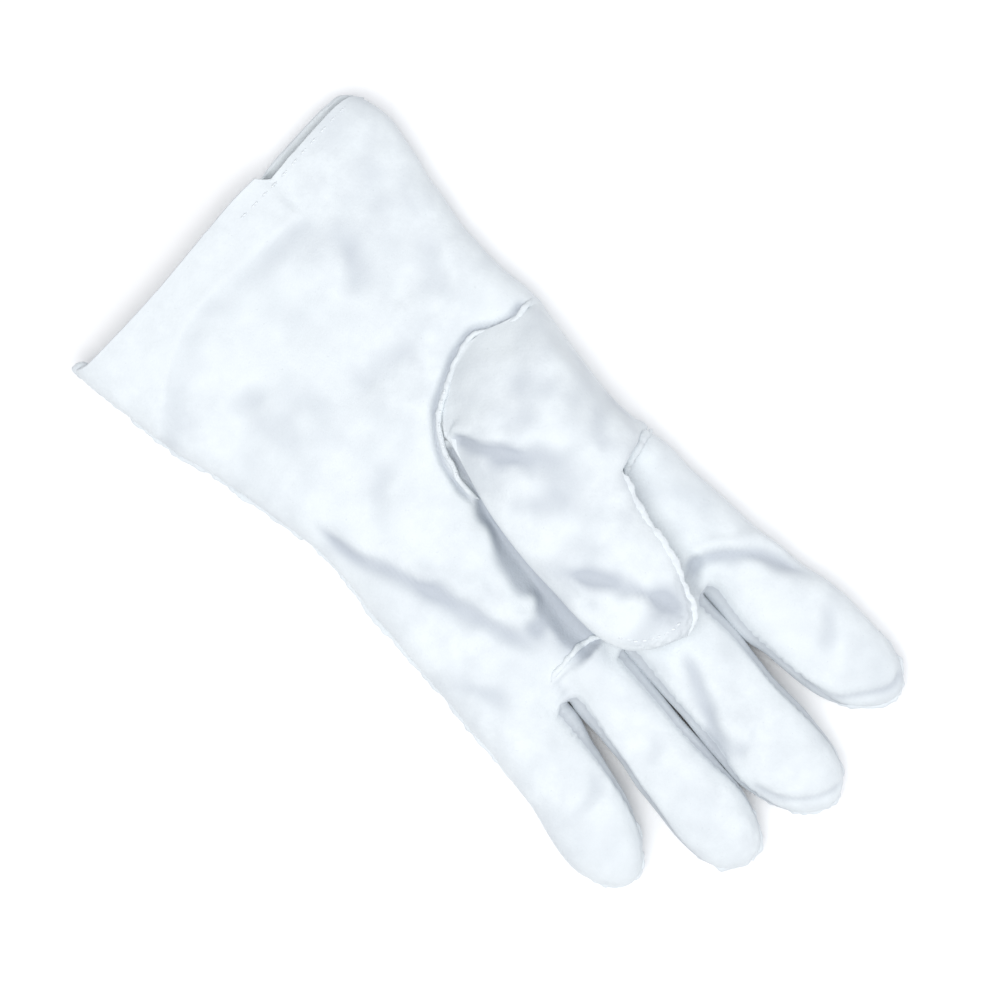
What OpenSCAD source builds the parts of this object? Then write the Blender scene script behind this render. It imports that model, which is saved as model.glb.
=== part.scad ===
// Left-hand leather beekeeping glove, lying on its back with the thumb folded over the palm.
// The cuff opens towards -Y, the fingers point to +Y, the thumb is on the -X side and the palm faces +Z.
// Every leather piece is a thin shell with its own inner face, so the glove is hollow throughout.

/* [Overall] */
// Length of the whole glove, from the cuff's mouth to the longest fingertip
glove_l = 331; // [310:1:350]
// Width of the flared cuff at its mouth
cuff_w = 157; // [148:1:164]
// Thickness of the hand and of each finger
hand_t = 24; // [20:1:28]
// Thickness of the folded thumb
thumb_t = 17.5; // [14:0.5:20]

/* [Leather] */
// Thickness of the leather
wall = 1.6; // [1.2:0.1:2]
// Room left beside each finger
side_room = 0.5; // [0.4:0.1:1]
// Gap between pieces that only lie against each other
lay_gap = 0.3; // [0.2:0.1:0.5]
// Gap on each side of a fold where two bodies meet
fold_gap = 0.2; // [0.15:0.05:0.4]

/* [Seams] */
// Half width of a rolled welt
welt_r = 1.5; // [1:0.1:2]
// How far a seam allowance stands out past the edge
lip_w = 2.6; // [2:0.1:3.2]
// Thickness of a seam allowance
lip_t = 2; // [1.6:0.1:2.4]
// Length of one stitch
stitch_l = 3.2; // [2:0.1:4]
// Distance between stitches
stitch_pitch = 6; // [5:0.5:9]
// Thickness of the sewing thread
thread_t = 0.8; // [0.6:0.1:1]

/* [Cuff hem] */
// Width of the turned hem
hem_w = 24; // [18:1:28]
// How far the back of the cuff runs past the palm side
back_reach = 4; // [2:0.5:6]

/* [Hidden] */

// The outlines below are drawn for this length and width, then stretched to the ones above.
drawn_l = 331;
drawn_w = 157;
middle_y = 4.5;               // middle of the drawn length, which goes to the origin
sx = cuff_w / drawn_w;
sy = glove_l / drawn_l;

mid_z = hand_t / 2;          // height of the seams between front and back
back_h = hand_t / 2 + 0.4;   // a little over half, so that the back is cut flat where it rests
seam_half = 0.15;            // half the gap between a front and a back piece
hand_power = 6;              // how square the hand's cross section is
round_power = 0.83;          // how square a finger's cross section is
fork_angle = 30;             // where the fourchettes meet the front and the back, round the finger
fork_slack = 1.5;            // what the fourchettes stop short of that, in degrees
strip_half = 1.2;            // half the leather left between two fingers

wrist_y = -66;               // fold between hand and cuff
mouth_y = -154.5;            // middle of the palm side's edge at the cuff's mouth
mouth_slope = 0.035;         // rise of the mouth towards the little finger
palm_rows = 16;
base_rows = 4;
seam_row = 15;               // row of the palm where the two middle fingers' front is sewn on
last_row = palm_rows + base_rows;
finger_cols = 6;
hole_cols = [2, 8];          // the palm's cut-out for the thumb, in columns and rows of the palm
hole_rows = [3, 8];

// Edges of the hand, as [y, x]
thumb_side = [
  [-160, -73], [-151, -77.5], [-139, -79.5], [-126, -76.5], [-110, -72.5], [-90, -69.5], [-70, -68],
  [-54, -69], [-40, -67], [-20, -63.5], [0, -61.5], [15, -62.5], [26, -65], [50, -66], [75, -67.2]
];
little_side = [
  [-160, 73.5], [-130, 74], [-118, 72.5], [-100, 69.3], [-80, 65.5], [-60, 62], [-40, 60.7],
  [0, 61.5], [25, 64], [50, 65.5], [75, 68]
];
// Height of the palm side above the seams
top_h = [[-164, 15], [-140, 14], [-110, 12.5], [-66, 12], [0, 12], [80, 12]];

// Fingers from index to little
crotch_y = [75, 75, 68, 68, 68];
crotch_share = [0, 0.222, 0.512, 0.715, 1];
knuckle_y = [103, 101, 98, 92];
end_knuckle_y = [129, 129, 126, 113];
round_y = [116, 131, 131, 96];
tip_y = [157, 168, 162.2, 135];
blunt = [2, 2.2, 2.4, 2];
centre = [
  [[60, -51.5], [91, -52.5], [121, -53.5], [141, -56.5], [160, -58.5]],
  [[60, -16.5], [121, -12.5], [141, -11.2], [160, -12], [170, -13.5]],
  [[60, 17], [101, 21.6], [136, 25.1], [156, 25.8], [164, 24.4]],
  [[60, 50], [91, 55], [111, 59.3], [121, 60.8], [137, 62.2]]
];
half_w = [
  [[60, 15], [75, 16], [91, 18], [111, 19.6], [160, 19.9]],
  [[60, 19], [121, 19.7], [141, 18.8], [162, 18.5]],
  [[60, 13.5], [101, 15.5], [136, 15.9], [162, 15.5]],
  [[60, 16.5], [91, 18.8], [160, 19.2]]
];
seam_from = [133, 150, 147, 110];  // where the lip round each fingertip begins

// Thumb: edges towards the palm and towards the index finger, as [share of its length, x or y]
fold_a = [-8.4, -33.8];
fold_b = [-44.4, 19.2];
thumb_rows = 12;
thumb_cols = 8;
palm_edge_x = [[0, -8.4], [0.14, 1], [0.28, 5], [0.45, 6.6], [0.72, 6.4], [0.88, 2], [1, -5]];
palm_edge_y = [[0, -33.8], [0.14, -9], [0.28, 11], [0.45, 33], [0.72, 59], [0.88, 70], [1, 76]];
index_edge_x = [[0, -44.4], [0.14, -42.4], [0.28, -40.6], [0.45, -38.2], [0.72, -31], [0.88, -25], [1, -18]];
index_edge_y = [[0, 19.2], [0.14, 26.5], [0.28, 35], [0.45, 46], [0.72, 68], [0.88, 77.5], [1, 81.5]];
thumb_round_from = 0.7;
thumb_z = hand_t + lay_gap + thumb_t / 2;
thumb_top = hand_t + lay_gap + thumb_t;

// Thumb wing: its sewn edge from the palm end of the fold round to the web, as [share, x or y]
wing_x = [
  [0, -3.5], [0.12, -11], [0.25, -23], [0.38, -36], [0.5, -47], [0.62, -55.5],
  [0.75, -55.5], [0.88, -54.5], [1, -51]
];
wing_y = [
  [0, -35], [0.12, -45], [0.25, -52], [0.38, -55.5], [0.5, -52], [0.62, -42],
  [0.75, -22], [0.88, -2], [1, 15]
];
wing_rows = 7;
wing_cols = 14;

// ---------- numbers ----------
function mix(a, b, t) = a + (b - a) * t;
function clamp(t) = min(1, max(0, t));
function ease(t) = let (c = clamp(t)) c * c * (3 - 2 * c);
function stage(s, q, i = 0) = i >= len(s) - 2 || q < s[i + 1][0] ? i : stage(s, q, i + 1);
function grade(s, i) =
  let (a = max(0, i - 1), b = min(len(s) - 1, i + 1)) (s[b][1] - s[a][1]) / (s[b][0] - s[a][0]);
// Smooth curve through a list of [position, value]
function curve(s, q) =
  let (i = stage(s, q), h = s[i + 1][0] - s[i][0], t = clamp((q - s[i][0]) / h), t2 = t * t, t3 = t2 * t)
    (2 * t3 - 3 * t2 + 1) * s[i][1] + (t3 - 2 * t2 + t) * h * grade(s, i)
    + (3 * t2 - 2 * t3) * s[i + 1][1] + (t3 - t2) * h * grade(s, i + 1);
function fit(p) = [p[0] * sx, (p[1] - middle_y) * sy, p[2]];

// ---------- the hand's surface ----------
// Height of the hand's skin over x, y: face 1 is the palm side, -1 the back; deep is the inset from outside
function hand_z(x, y, face, deep) =
  let (l = curve(thumb_side, y) + deep, r = curve(little_side, y) - deep,
       u = clamp(abs(2 * x - l - r) / (r - l)),
       h = (face > 0 ? curve(top_h, y) * hand_t / 24 : back_h) - seam_half - deep,
       z = mid_z + face * (seam_half + h * pow(1 - pow(u, hand_power), 1 / hand_power)))
    max(z, deep);

// Shrinking of a finger towards its tip
function tip_share(k, y) = clamp((y - round_y[k]) / (tip_y[k] - round_y[k]));
function tip_shrink(k, y) = pow(1 - pow(tip_share(k, y), blunt[k]), 1 / blunt[k]);

// Point on a finger: a is the angle round it, from the thumb side over the face to the little side
function finger_pt(k, a, y, face, deep) =
  let (s = tip_shrink(k, y),
       f = tip_share(k, y),
       least = deep > 0 ? 0.5 : 1.3,
       w = max((curve(half_w[k], y) - side_room) * s - deep, least),
       h = max((face > 0 ? hand_t / 2 : back_h) * pow(s, 0.7) - seam_half - deep, least),
       c = cos(a),
       x = curve(centre[k], y) - w * sign(c) * pow(abs(c), round_power),
       z = mid_z + face * (seam_half + h * pow(abs(sin(a)), round_power)))
    [x, y - deep * f * f, max(z, deep)];

function left_angle(k, forked) = forked && k > 0 ? fork_angle : 0;
function right_angle(k, forked) = forked && k < 3 ? fork_angle : 0;
function across(k, t, forked) = mix(left_angle(k, forked), 180 - right_angle(k, forked), t);

// Point of the hand: finger k's column at share t, row j counted from the wrist
function row_y(k, t, j) =
  let (c = mix(crotch_y[k], crotch_y[k + 1], t))
    j <= palm_rows ? mix(wrist_y + fold_gap, c, j / palm_rows)
                   : mix(c, knuckle_y[k] - fold_gap, (j - palm_rows) / base_rows);
function bound_x(k, y) =
  let (l = curve(thumb_side, y), r = curve(little_side, y)) mix(l, r, crotch_share[k]);
function hand_pt(k, t, j, face, deep, shift = 0) =
  let (y = row_y(k, t, j) + shift,
       a = across(k, t, true),
       p = finger_pt(k, a, y, face, deep),
       c = (1 - cos(a)) / 2,
       c0 = (1 - cos(across(k, 0, true))) / 2,
       c1 = (1 - cos(across(k, 1, true))) / 2,
       l = bound_x(k, y) + (k == 0 ? deep : strip_half),
       r = bound_x(k + 1, y) - (k == 3 ? deep : strip_half),
       x = mix(l, r, (c - c0) / (c1 - c0)),
       s = ease((y - mix(crotch_y[k], crotch_y[k + 1], t) + 30) / 30))
    fit([mix(x, p[0], s), y, mix(hand_z(x, y, face, deep), p[2], s)]);
function hand_grid(face, deep, shift = 0) =
  [for (j = [0:last_row]) [for (k = [0:3]) for (i = [0:finger_cols - 1])
    hand_pt(k, i / (finger_cols - 1), j, face, deep, j == seam_row ? shift : 0)]];

// ---------- solids ----------
// Closed sheet of leather between an outer and an inner grid of points; keep tells which cells are leather
module leather(outer, inner, face, keep = function (i, j) true) {
  rows = len(outer);
  cols = len(outer[0]);
  count = rows * cols;
  at = function (i, j) j * cols + i;
  kept = function (i, j) i >= 0 && j >= 0 && i < cols - 1 && j < rows - 1 && keep(i, j);
  quad = function (a, b, c, d) [[a, b, c], [a, c, d]];
  faces = [for (j = [0:rows - 2]) for (i = [0:cols - 2]) if (kept(i, j)) let (
      a = at(i, j), b = at(i, j + 1), c = at(i + 1, j + 1), d = at(i + 1, j))
    each concat(
      quad(a, b, c, d),
      quad(a + count, d + count, c + count, b + count),
      kept(i - 1, j) ? [] : quad(b, a, a + count, b + count),
      kept(i + 1, j) ? [] : quad(d, c, c + count, d + count),
      kept(i, j - 1) ? [] : quad(a, d, d + count, a + count),
      kept(i, j + 1) ? [] : quad(c, b, b + count, c + count))];
  turned = [for (f = faces) face > 0 ? f : [f[0], f[2], f[1]]];
  polyhedron(points = concat([for (r = outer) each r], [for (r = inner) each r]), faces = turned, convexity = 10);
}

// Strand of flattened round section along a path, wide across and high upwards
module strand(path, wide, high, sides = 8) {
  n = len(path);
  way = [for (i = [0:n - 1]) let (d = path[min(n - 1, i + 1)] - path[max(0, i - 1)]) d / norm([d[0], d[1]])];
  rings = [for (i = [0:n - 1]) [for (s = [0:sides - 1]) let (a = 360 * (s + 0.5) / sides)
    path[i] + [way[i][1], -way[i][0], 0] * wide * cos(a) + [0, 0, high * sin(a)]]];
  sides_of = [for (i = [0:n - 2]) for (s = [0:sides - 1]) let (
      a = i * sides + s, b = i * sides + (s + 1) % sides, c = b + sides, d = a + sides)
    each [[a, d, c], [a, c, b]]];
  ends = [for (s = [1:sides - 2]) each [[0, s, s + 1],
    [(n - 1) * sides, (n - 1) * sides + s + 1, (n - 1) * sides + s]]];
  polyhedron(points = [for (r = rings) each r], faces = concat(sides_of, ends), convexity = 6);
}

// Row of short stitches along a path, each lying in the path's direction
module stitches(path, long = stitch_l) {
  for (i = [0:len(path) - 2]) {
    d = path[i + 1] - path[i];
    turn = atan2(d[1], d[0]);
    pitch = -atan2(d[2], norm([d[0], d[1]]));
    translate((path[i] + path[i + 1]) / 2) rotate([0, pitch, turn])
      cube([long, thread_t * 1.6, thread_t], center = true);
  }
}

// ---------- hand ----------
group_of = function (i) floor(i / finger_cols);
in_group = function (i) group_of(i) == group_of(i + 1);

module palm_panel() {
  keep = function (i, j)
    (j < seam_row && !(i >= hole_cols[0] && i < hole_cols[1] && j >= hole_rows[0] && j < hole_rows[1]))
    || (j >= seam_row && in_group(i) && (group_of(i) == 0 || group_of(i) == 3));
  color("whitesmoke") leather(hand_grid(1, 0), hand_grid(1, wall), 1, keep);
}
module back_panel() {
  color("gainsboro") leather(hand_grid(-1, 0), hand_grid(-1, wall), -1,
    function (i, j) j < palm_rows || in_group(i));
}
module middle_ring_front() {
  keep = function (i, j) j >= seam_row && i >= finger_cols && i < 3 * finger_cols - 1
    && (in_group(i) || j < palm_rows);
  color("white") leather(hand_grid(1, 0, 0.5), hand_grid(1, wall, 0.5), 1, keep);
}
// Raised roll where the two middle fingers' front is sewn to the palm, beside the folded thumb
module finger_base_welt() {
  path = [for (j = [0:8]) let (p = hand_pt(2, mix(0.22, 0.96, j / 8), seam_row, 1, 0))
    p + [0, 0, welt_r + lay_gap + 0.2]];
  color("white") strand(path, welt_r, welt_r * 0.9);
}

// Side of finger k as a strip: edge 0 is its thumb side, 1 its little side
function strip_pt(k, edge, y, q, deep) =
  let (a = (fork_angle - fork_slack) * abs(q), face = q < 0 ? -1 : 1,
       p = finger_pt(k, edge == 0 ? a : 180 - a, y, 1, deep))
    [p[0], p[1], mid_z + face * (p[2] - mid_z - seam_half)];
strip_steps = [-1, -0.5, 0, 0.5, 1];
strip_rows = 5;

// V-shaped fourchette at the crotch between finger k and the next one
module fork(k) {
  floor_y = crotch_y[k + 1] + 1.6;
  first = crotch_y[k + 1] + 5;
  down = [for (j = [0:strip_rows]) mix(knuckle_y[k] - fold_gap, first, j / strip_rows)];
  up = [for (j = [0:strip_rows]) mix(first, knuckle_y[k + 1] - fold_gap, j / strip_rows)];
  side = function (q, deep) concat(
    [for (y = down) fit(strip_pt(k, 1, y, q, deep))],
    [let (l = strip_pt(k, 1, floor_y, q, deep), r = strip_pt(k + 1, 0, floor_y, q, deep))
      fit([(l[0] + r[0]) / 2, floor_y - deep, l[2]])],
    [for (y = up) fit(strip_pt(k + 1, 0, y, q, deep))]);
  color("lightgray") leather([for (q = strip_steps) side(q, 0)], [for (q = strip_steps) side(q, wall)], -1);
}
module index_middle_fork() { fork(0); }
module middle_ring_fork() { fork(1); }
module ring_little_fork() { fork(2); }

// Allowance of the seam down the little finger's side, on the cuff and on the hand
function little_edge(y) = fit([curve(little_side, y) + lip_w / 2 + 0.5, y, mid_z]);
function little_base_edge(y) =
  let (s = ease((y - crotch_y[4] + 30) / 30), p = finger_pt(3, 180, y, 1, 0))
    fit([mix(curve(little_side, y), p[0], s) + lip_w / 2 + 0.5, y, mid_z]);
module palm_side_seam() {
  path = [for (j = [0:18]) little_base_edge(mix(wrist_y + fold_gap, knuckle_y[3] - fold_gap, j / 18))];
  color("white") strand(path, lip_w / 2, lip_t / 2, 6);
}

// Short seam across the web between thumb and index finger
module web_seam() {
  ends = [[-62.5, 19], [-47.5, 21.5]];
  path = [for (j = [0:8]) let (p = mix(ends[0], ends[1], j / 8))
    fit([p[0], p[1] - 1.5 * sin(180 * j / 8),
         hand_z(p[0], p[1], 1, 0) + welt_r + lay_gap + 0.4])];
  color("white") strand(path, welt_r, welt_r);
}

// ---------- cuff ----------
cuff_cols = 20;
cuff_rows = 12;
function mouth(x, reach) = mouth_y - reach + mouth_slope * x;
function cuff_pt(i, q, reach, face, deep, lift = 0, span = [0, 1]) =
  let (a = 180 * mix(span[0], span[1], i / cuff_cols),
       guess = mix(mouth_y - reach, wrist_y - fold_gap, q),
       l0 = curve(thumb_side, guess), r0 = curve(little_side, guess),
       x0 = mix(l0, r0, (1 - cos(a)) / 2),
       y = mix(mouth(x0, reach), wrist_y - fold_gap, q),
       l = curve(thumb_side, y) + deep - lift, r = curve(little_side, y) - deep + lift,
       x = mix(l, r, (1 - cos(a)) / 2))
    fit([x, y, hand_z(x, y, face, deep) + face * lift]);
function cuff_grid(q, reach, face, deep, lift = 0, span = [0, 1]) =
  [for (s = q) [for (i = [0:cuff_cols]) cuff_pt(i, s, reach, face, deep, lift, span)]];
cuff_steps = [for (j = [0:cuff_rows]) j / cuff_rows];
hem_share = hem_w / (wrist_y - mouth_y);
hem_steps = [0, hem_share / 3, hem_share * 2 / 3, hem_share];

module cuff_front() {
  color("whitesmoke") leather(cuff_grid(cuff_steps, 0, 1, 0), cuff_grid(cuff_steps, 0, 1, wall), 1);
}
module cuff_back() {
  color("gainsboro") leather(cuff_grid(cuff_steps, back_reach, -1, 0),
    cuff_grid(cuff_steps, back_reach, -1, wall), -1);
}
// Turned hem inside each side of the mouth
module cuff_hem_front() {
  span = [0.06, 0.94];
  color("white") leather(cuff_grid(hem_steps, -1, 1, wall + lay_gap, 0, span),
    cuff_grid(hem_steps, -1, 1, wall * 2 + lay_gap, 0, span), 1);
}
module cuff_hem_back() {
  span = [0.06, 0.94];
  color("white") leather(cuff_grid(hem_steps, back_reach - 1, -1, wall + lay_gap, 0, span),
    cuff_grid(hem_steps, back_reach - 1, -1, wall * 2 + lay_gap, 0, span), -1);
}
module cuff_side_seam() {
  path = [for (j = [0:14]) little_edge(mix(-152, wrist_y - fold_gap, j / 14))];
  color("white") strand(path, lip_w / 2, lip_t / 2, 6);
}
module mouth_stitches() {
  n = round(0.88 * cuff_w / stitch_pitch);
  path = [for (j = [0:n]) let (p = cuff_pt(mix(3, cuff_cols - 3, j / n), 0.05, 0, 1, 0))
    p + [0, 0, thread_t / 2 + 0.25]];
  color("ivory") stitches(path);
}

// ---------- fingers past the knuckles ----------
middle_rows = 4;
tip_rows = 8;
shell_cols = 9;
function middle_ys(k) =
  [for (j = [0:middle_rows]) mix(knuckle_y[k] + fold_gap, end_knuckle_y[k] - fold_gap, j / middle_rows)];
function tip_ys(k) =
  [for (j = [0:tip_rows]) mix(end_knuckle_y[k] + fold_gap, tip_y[k], sin(90 * j / tip_rows))];
function shell_grid(k, ys, forked, face, deep) =
  [for (y = ys) [for (i = [0:shell_cols]) fit(finger_pt(k, across(k, i / shell_cols, forked), y, face, deep))]];
module finger_shell(k, ys, forked, face) {
  leather(shell_grid(k, ys, forked, face, 0), shell_grid(k, ys, forked, face, wall), face);
}
module fourchette(k, edge) {
  ys = middle_ys(k);
  grid = function (deep) [for (y = ys) [for (q = strip_steps) fit(strip_pt(k, edge, y, q, deep))]];
  color("lightgray") leather(grid(0), grid(wall), edge == 0 ? 1 : -1);
}
// Path that runs a little outside an open outline, on its left as it goes
function beside(line, out) = [for (i = [0:len(line) - 1]) let (
    d = line[min(len(line) - 1, i + 1)] - line[max(0, i - 1)],
    n = [-d[1], d[0]] / norm([d[0], d[1]]))
  [line[i][0] + n[0] * out, line[i][1] + n[1] * out, mid_z]];
// Seam allowance round a fingertip
module tip_seam(k) {
  steps = 9;
  ys = [for (i = [0:steps]) mix(seam_from[k], tip_y[k], sin(90 * i / steps))];
  up = [for (y = ys) finger_pt(k, 0, y, 1, 0)];
  down = [for (i = [steps:-1:0]) finger_pt(k, 180, ys[i], 1, 0)];
  path = beside(concat(up, down), lip_w / 2 + lay_gap);
  color("white") strand([for (p = path) fit(p)], lip_w / 2, lip_t / 2, 6);
}
module middle_front(k) { color("white") finger_shell(k, middle_ys(k), true, 1); }
module middle_back(k) { color("gainsboro") finger_shell(k, middle_ys(k), true, -1); }
module tip_front(k) { color("white") finger_shell(k, tip_ys(k), false, 1); }
module tip_back(k) { color("gainsboro") finger_shell(k, tip_ys(k), false, -1); }

module index_middle_front() { middle_front(0); }
module index_middle_back() { middle_back(0); }
module index_inner_fourchette() { fourchette(0, 1); }
module index_tip_front() { tip_front(0); }
module index_tip_back() { tip_back(0); }
module index_tip_seam() { tip_seam(0); }
module middle_middle_front() { middle_front(1); }
module middle_middle_back() { middle_back(1); }
module middle_thumbside_fourchette() { fourchette(1, 0); }
module middle_ringside_fourchette() { fourchette(1, 1); }
module middle_tip_front() { tip_front(1); }
module middle_tip_back() { tip_back(1); }
module middle_tip_seam() { tip_seam(1); }
module ring_middle_front() { middle_front(2); }
module ring_middle_back() { middle_back(2); }
module ring_middleside_fourchette() { fourchette(2, 0); }
module ring_littleside_fourchette() { fourchette(2, 1); }
module ring_tip_front() { tip_front(2); }
module ring_tip_back() { tip_back(2); }
module ring_tip_seam() { tip_seam(2); }
module little_middle_front() { middle_front(3); }
module little_middle_back() { middle_back(3); }
module little_inner_fourchette() { fourchette(3, 0); }
module little_tip_front() { tip_front(3); }
module little_tip_back() { tip_back(3); }
module little_tip_seam() { tip_seam(3); }

// ---------- thumb ----------
fold_n = let (d = fold_b - fold_a) [d[1], -d[0]] / norm(d);   // across the fold, towards the thumb
function thumb_share(q) = clamp((q - thumb_round_from) / (1 - thumb_round_from));
// Point on the thumb: q along it, a round it from the index side over the face to the palm side
function thumb_pt(q, a, face, deep) =
  let (l = [curve(index_edge_x, q), curve(index_edge_y, q)],
       r = [curve(palm_edge_x, q), curve(palm_edge_y, q)],
       m = (l + r) / 2, half = norm(r - l) / 2, way = (r - l) / norm(r - l),
       f = thumb_share(q),
       w = half - deep,
       h = max((thumb_t / 2 - seam_half) * pow(1 - pow(f, 2.4), 0.3) - deep, deep > 0 ? 0.3 : 1),
       c = cos(a),
       p = m + way * w * sign(c) * -pow(abs(c), round_power) + fold_n * fold_gap * (1 - clamp(q * 10)))
    [p[0], p[1] - deep * f * f, thumb_z + face * (seam_half + h * pow(abs(sin(a)), round_power))];
thumb_steps = [for (j = [0:thumb_rows]) sin(90 * j / thumb_rows)];
function thumb_grid(face, deep) =
  [for (q = thumb_steps) [for (i = [0:thumb_cols]) fit(thumb_pt(q, 180 * i / thumb_cols, face, deep))]];
module thumb_outer_leather() { color("white") leather(thumb_grid(1, 0), thumb_grid(1, wall), 1); }
module thumb_inner_leather() { color("gainsboro") leather(thumb_grid(-1, 0), thumb_grid(-1, wall), -1); }
// Welt of the thumb's seam, along the side that faces the index finger
module thumb_side_welt() {
  edge = [for (j = [0:14]) thumb_pt(mix(0.06, 0.97, j / 14), 0, 1, 0)];
  path = [for (p = beside(edge, welt_r + lay_gap)) fit([p[0], p[1], thumb_z])];
  color("white") strand(path, welt_r, welt_r);
}
module thumb_tip_stitches() {
  n = round(42 / stitch_pitch);
  path = [for (j = [0:n]) let (p = thumb_pt(0.86, 40 + 100 * j / n, 1, 0)) fit(p + [0, 0, thread_t / 2 + 0.5])];
  color("ivory") stitches(path, 2.2);
}

// Wing of leather at the root of the thumb, sewn to the palm along its curved edge
function wing_pt(u, v, deep) =
  let (s = [curve(wing_x, u), curve(wing_y, u)],
       t = (1 - cos(180 * u)) / 2,
       e = fold_a + (fold_b - fold_a) * t - fold_n * fold_gap,
       p = mix(s, e, v),
       low = hand_t + lay_gap + wall - deep,
       high = (thumb_top - low - deep) * pow(sin(180 * clamp(u)), round_power))
    [p[0], p[1], low + high * pow(1 - pow(1 - v, 2), 0.6)];
function wing_grid(deep) =
  [for (j = [0:wing_rows]) [for (i = [0:wing_cols]) fit(wing_pt(1 - i / wing_cols, j / wing_rows, deep))]];
module thumb_wing() { color("white") leather(wing_grid(0), wing_grid(wall), 1); }
function wing_edge(u, out, lift) =
  let (p = wing_pt(u, 0, 0), q = wing_pt(u, 0.1, 0), d = [p[0] - q[0], p[1] - q[1]] / norm([p[0] - q[0], p[1] - q[1]]))
    fit([p[0] + d[0] * out, p[1] + d[1] * out, hand_t + lift]);
module wing_welt() {
  path = [for (j = [0:20]) wing_edge(mix(0.02, 0.58, j / 20), welt_r + 0.5, welt_r + lay_gap)];
  color("white") strand(path, welt_r, welt_r);
}
module wing_stitches() {
  n = round(84 / stitch_pitch);
  path = [for (j = [0:n]) wing_edge(mix(0.03, 0.55, j / n), 2 * welt_r + 2, thread_t / 2 + 0.3)];
  color("ivory") stitches(path);
}

palm_panel();
back_panel();
middle_ring_front();
finger_base_welt();
index_middle_fork();
middle_ring_fork();
ring_little_fork();
thumb_wing();
wing_welt();
wing_stitches();
web_seam();
palm_side_seam();
cuff_front();
cuff_back();
cuff_hem_front();
cuff_hem_back();
cuff_side_seam();
mouth_stitches();
index_middle_front();
index_middle_back();
index_inner_fourchette();
middle_middle_front();
middle_middle_back();
middle_thumbside_fourchette();
middle_ringside_fourchette();
ring_middle_front();
ring_middle_back();
ring_middleside_fourchette();
ring_littleside_fourchette();
little_middle_front();
little_middle_back();
little_inner_fourchette();
index_tip_front();
index_tip_back();
index_tip_seam();
middle_tip_front();
middle_tip_back();
middle_tip_seam();
ring_tip_front();
ring_tip_back();
ring_tip_seam();
little_tip_front();
little_tip_back();
little_tip_seam();
thumb_outer_leather();
thumb_inner_leather();
thumb_side_welt();
thumb_tip_stitches();
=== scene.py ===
import math

import bpy
import numpy as np
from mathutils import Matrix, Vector
from mathutils.kdtree import KDTree


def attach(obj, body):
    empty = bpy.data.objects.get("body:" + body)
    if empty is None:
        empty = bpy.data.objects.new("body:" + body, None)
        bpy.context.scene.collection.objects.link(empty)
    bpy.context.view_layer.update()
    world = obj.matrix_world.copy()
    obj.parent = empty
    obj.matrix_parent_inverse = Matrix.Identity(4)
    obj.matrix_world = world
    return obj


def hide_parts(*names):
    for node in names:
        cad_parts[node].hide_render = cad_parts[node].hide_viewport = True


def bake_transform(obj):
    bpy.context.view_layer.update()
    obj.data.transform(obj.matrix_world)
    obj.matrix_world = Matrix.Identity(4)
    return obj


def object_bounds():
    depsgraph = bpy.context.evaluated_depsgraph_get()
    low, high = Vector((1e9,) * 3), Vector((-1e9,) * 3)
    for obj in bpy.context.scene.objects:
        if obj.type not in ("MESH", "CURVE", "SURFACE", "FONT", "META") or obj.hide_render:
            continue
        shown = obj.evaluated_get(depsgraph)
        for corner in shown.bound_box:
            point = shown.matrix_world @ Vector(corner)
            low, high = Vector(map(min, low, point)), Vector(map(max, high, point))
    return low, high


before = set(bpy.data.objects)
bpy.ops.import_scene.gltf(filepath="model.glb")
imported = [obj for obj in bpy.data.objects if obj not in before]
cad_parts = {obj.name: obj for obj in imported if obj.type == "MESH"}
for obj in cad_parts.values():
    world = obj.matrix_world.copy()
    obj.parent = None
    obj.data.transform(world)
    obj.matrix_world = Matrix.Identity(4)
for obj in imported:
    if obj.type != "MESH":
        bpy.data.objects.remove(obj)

CAD_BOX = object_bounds()
MM = 0.001

# The tables below are drawn in millimetres for a glove of this length and width, and are then
# stretched to the CAD part's own box, so that the looks follow the part when its size changes.
DRAWN_SIZE = (158.63, 331.8)
DRAWN_CENTRE = (-0.11, 4.82)
STRETCH = [(CAD_BOX[1][a] - CAD_BOX[0][a]) / MM / DRAWN_SIZE[a] for a in (0, 1)]
CENTRE = [(CAD_BOX[1][a] + CAD_BOX[0][a]) / MM / 2 for a in (0, 1)]


# ---------- camera, made first ----------
PICTURE_SIDE = 0.3846  # metres that the square picture spans at AIM's height
AIM = (-0.0041, -0.0098, 0.02)


def make_camera():
    """Straight above the palm, rolled so that the fingers point to the lower right."""
    data = bpy.data.cameras.new("camera")
    data.lens = 100
    camera = bpy.data.objects.new("camera", data)
    bpy.context.scene.collection.objects.link(camera)
    distance = PICTURE_SIDE * data.lens / data.sensor_width
    camera.location = (AIM[0], AIM[1], distance + AIM[2])
    camera.rotation_euler = (0, 0, math.radians(135))
    bpy.context.scene.camera = camera


make_camera()

# ---------- the glove's outline, in drawn millimetres ----------
MID_Z = 12.0
BACK_H = 12.4
FORK_ANGLE = 30.0
CROTCH_ANGLE = 42.0
TIP_FORK_ANGLE = 5.0
STRIP_HALF = 1.2
WRIST_Y = -66.0
HAND_Z = 24.0
THUMB_Z = 33.05
THUMB_HALF = 8.6
ROUNDNESS = 0.86  # 1 gives fingers an oval section, and less a squarer one
SKIN = 1.4       # thickness of the leather
THIN_SKIN = 1.1  # and of the fingertips and side walls

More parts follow.
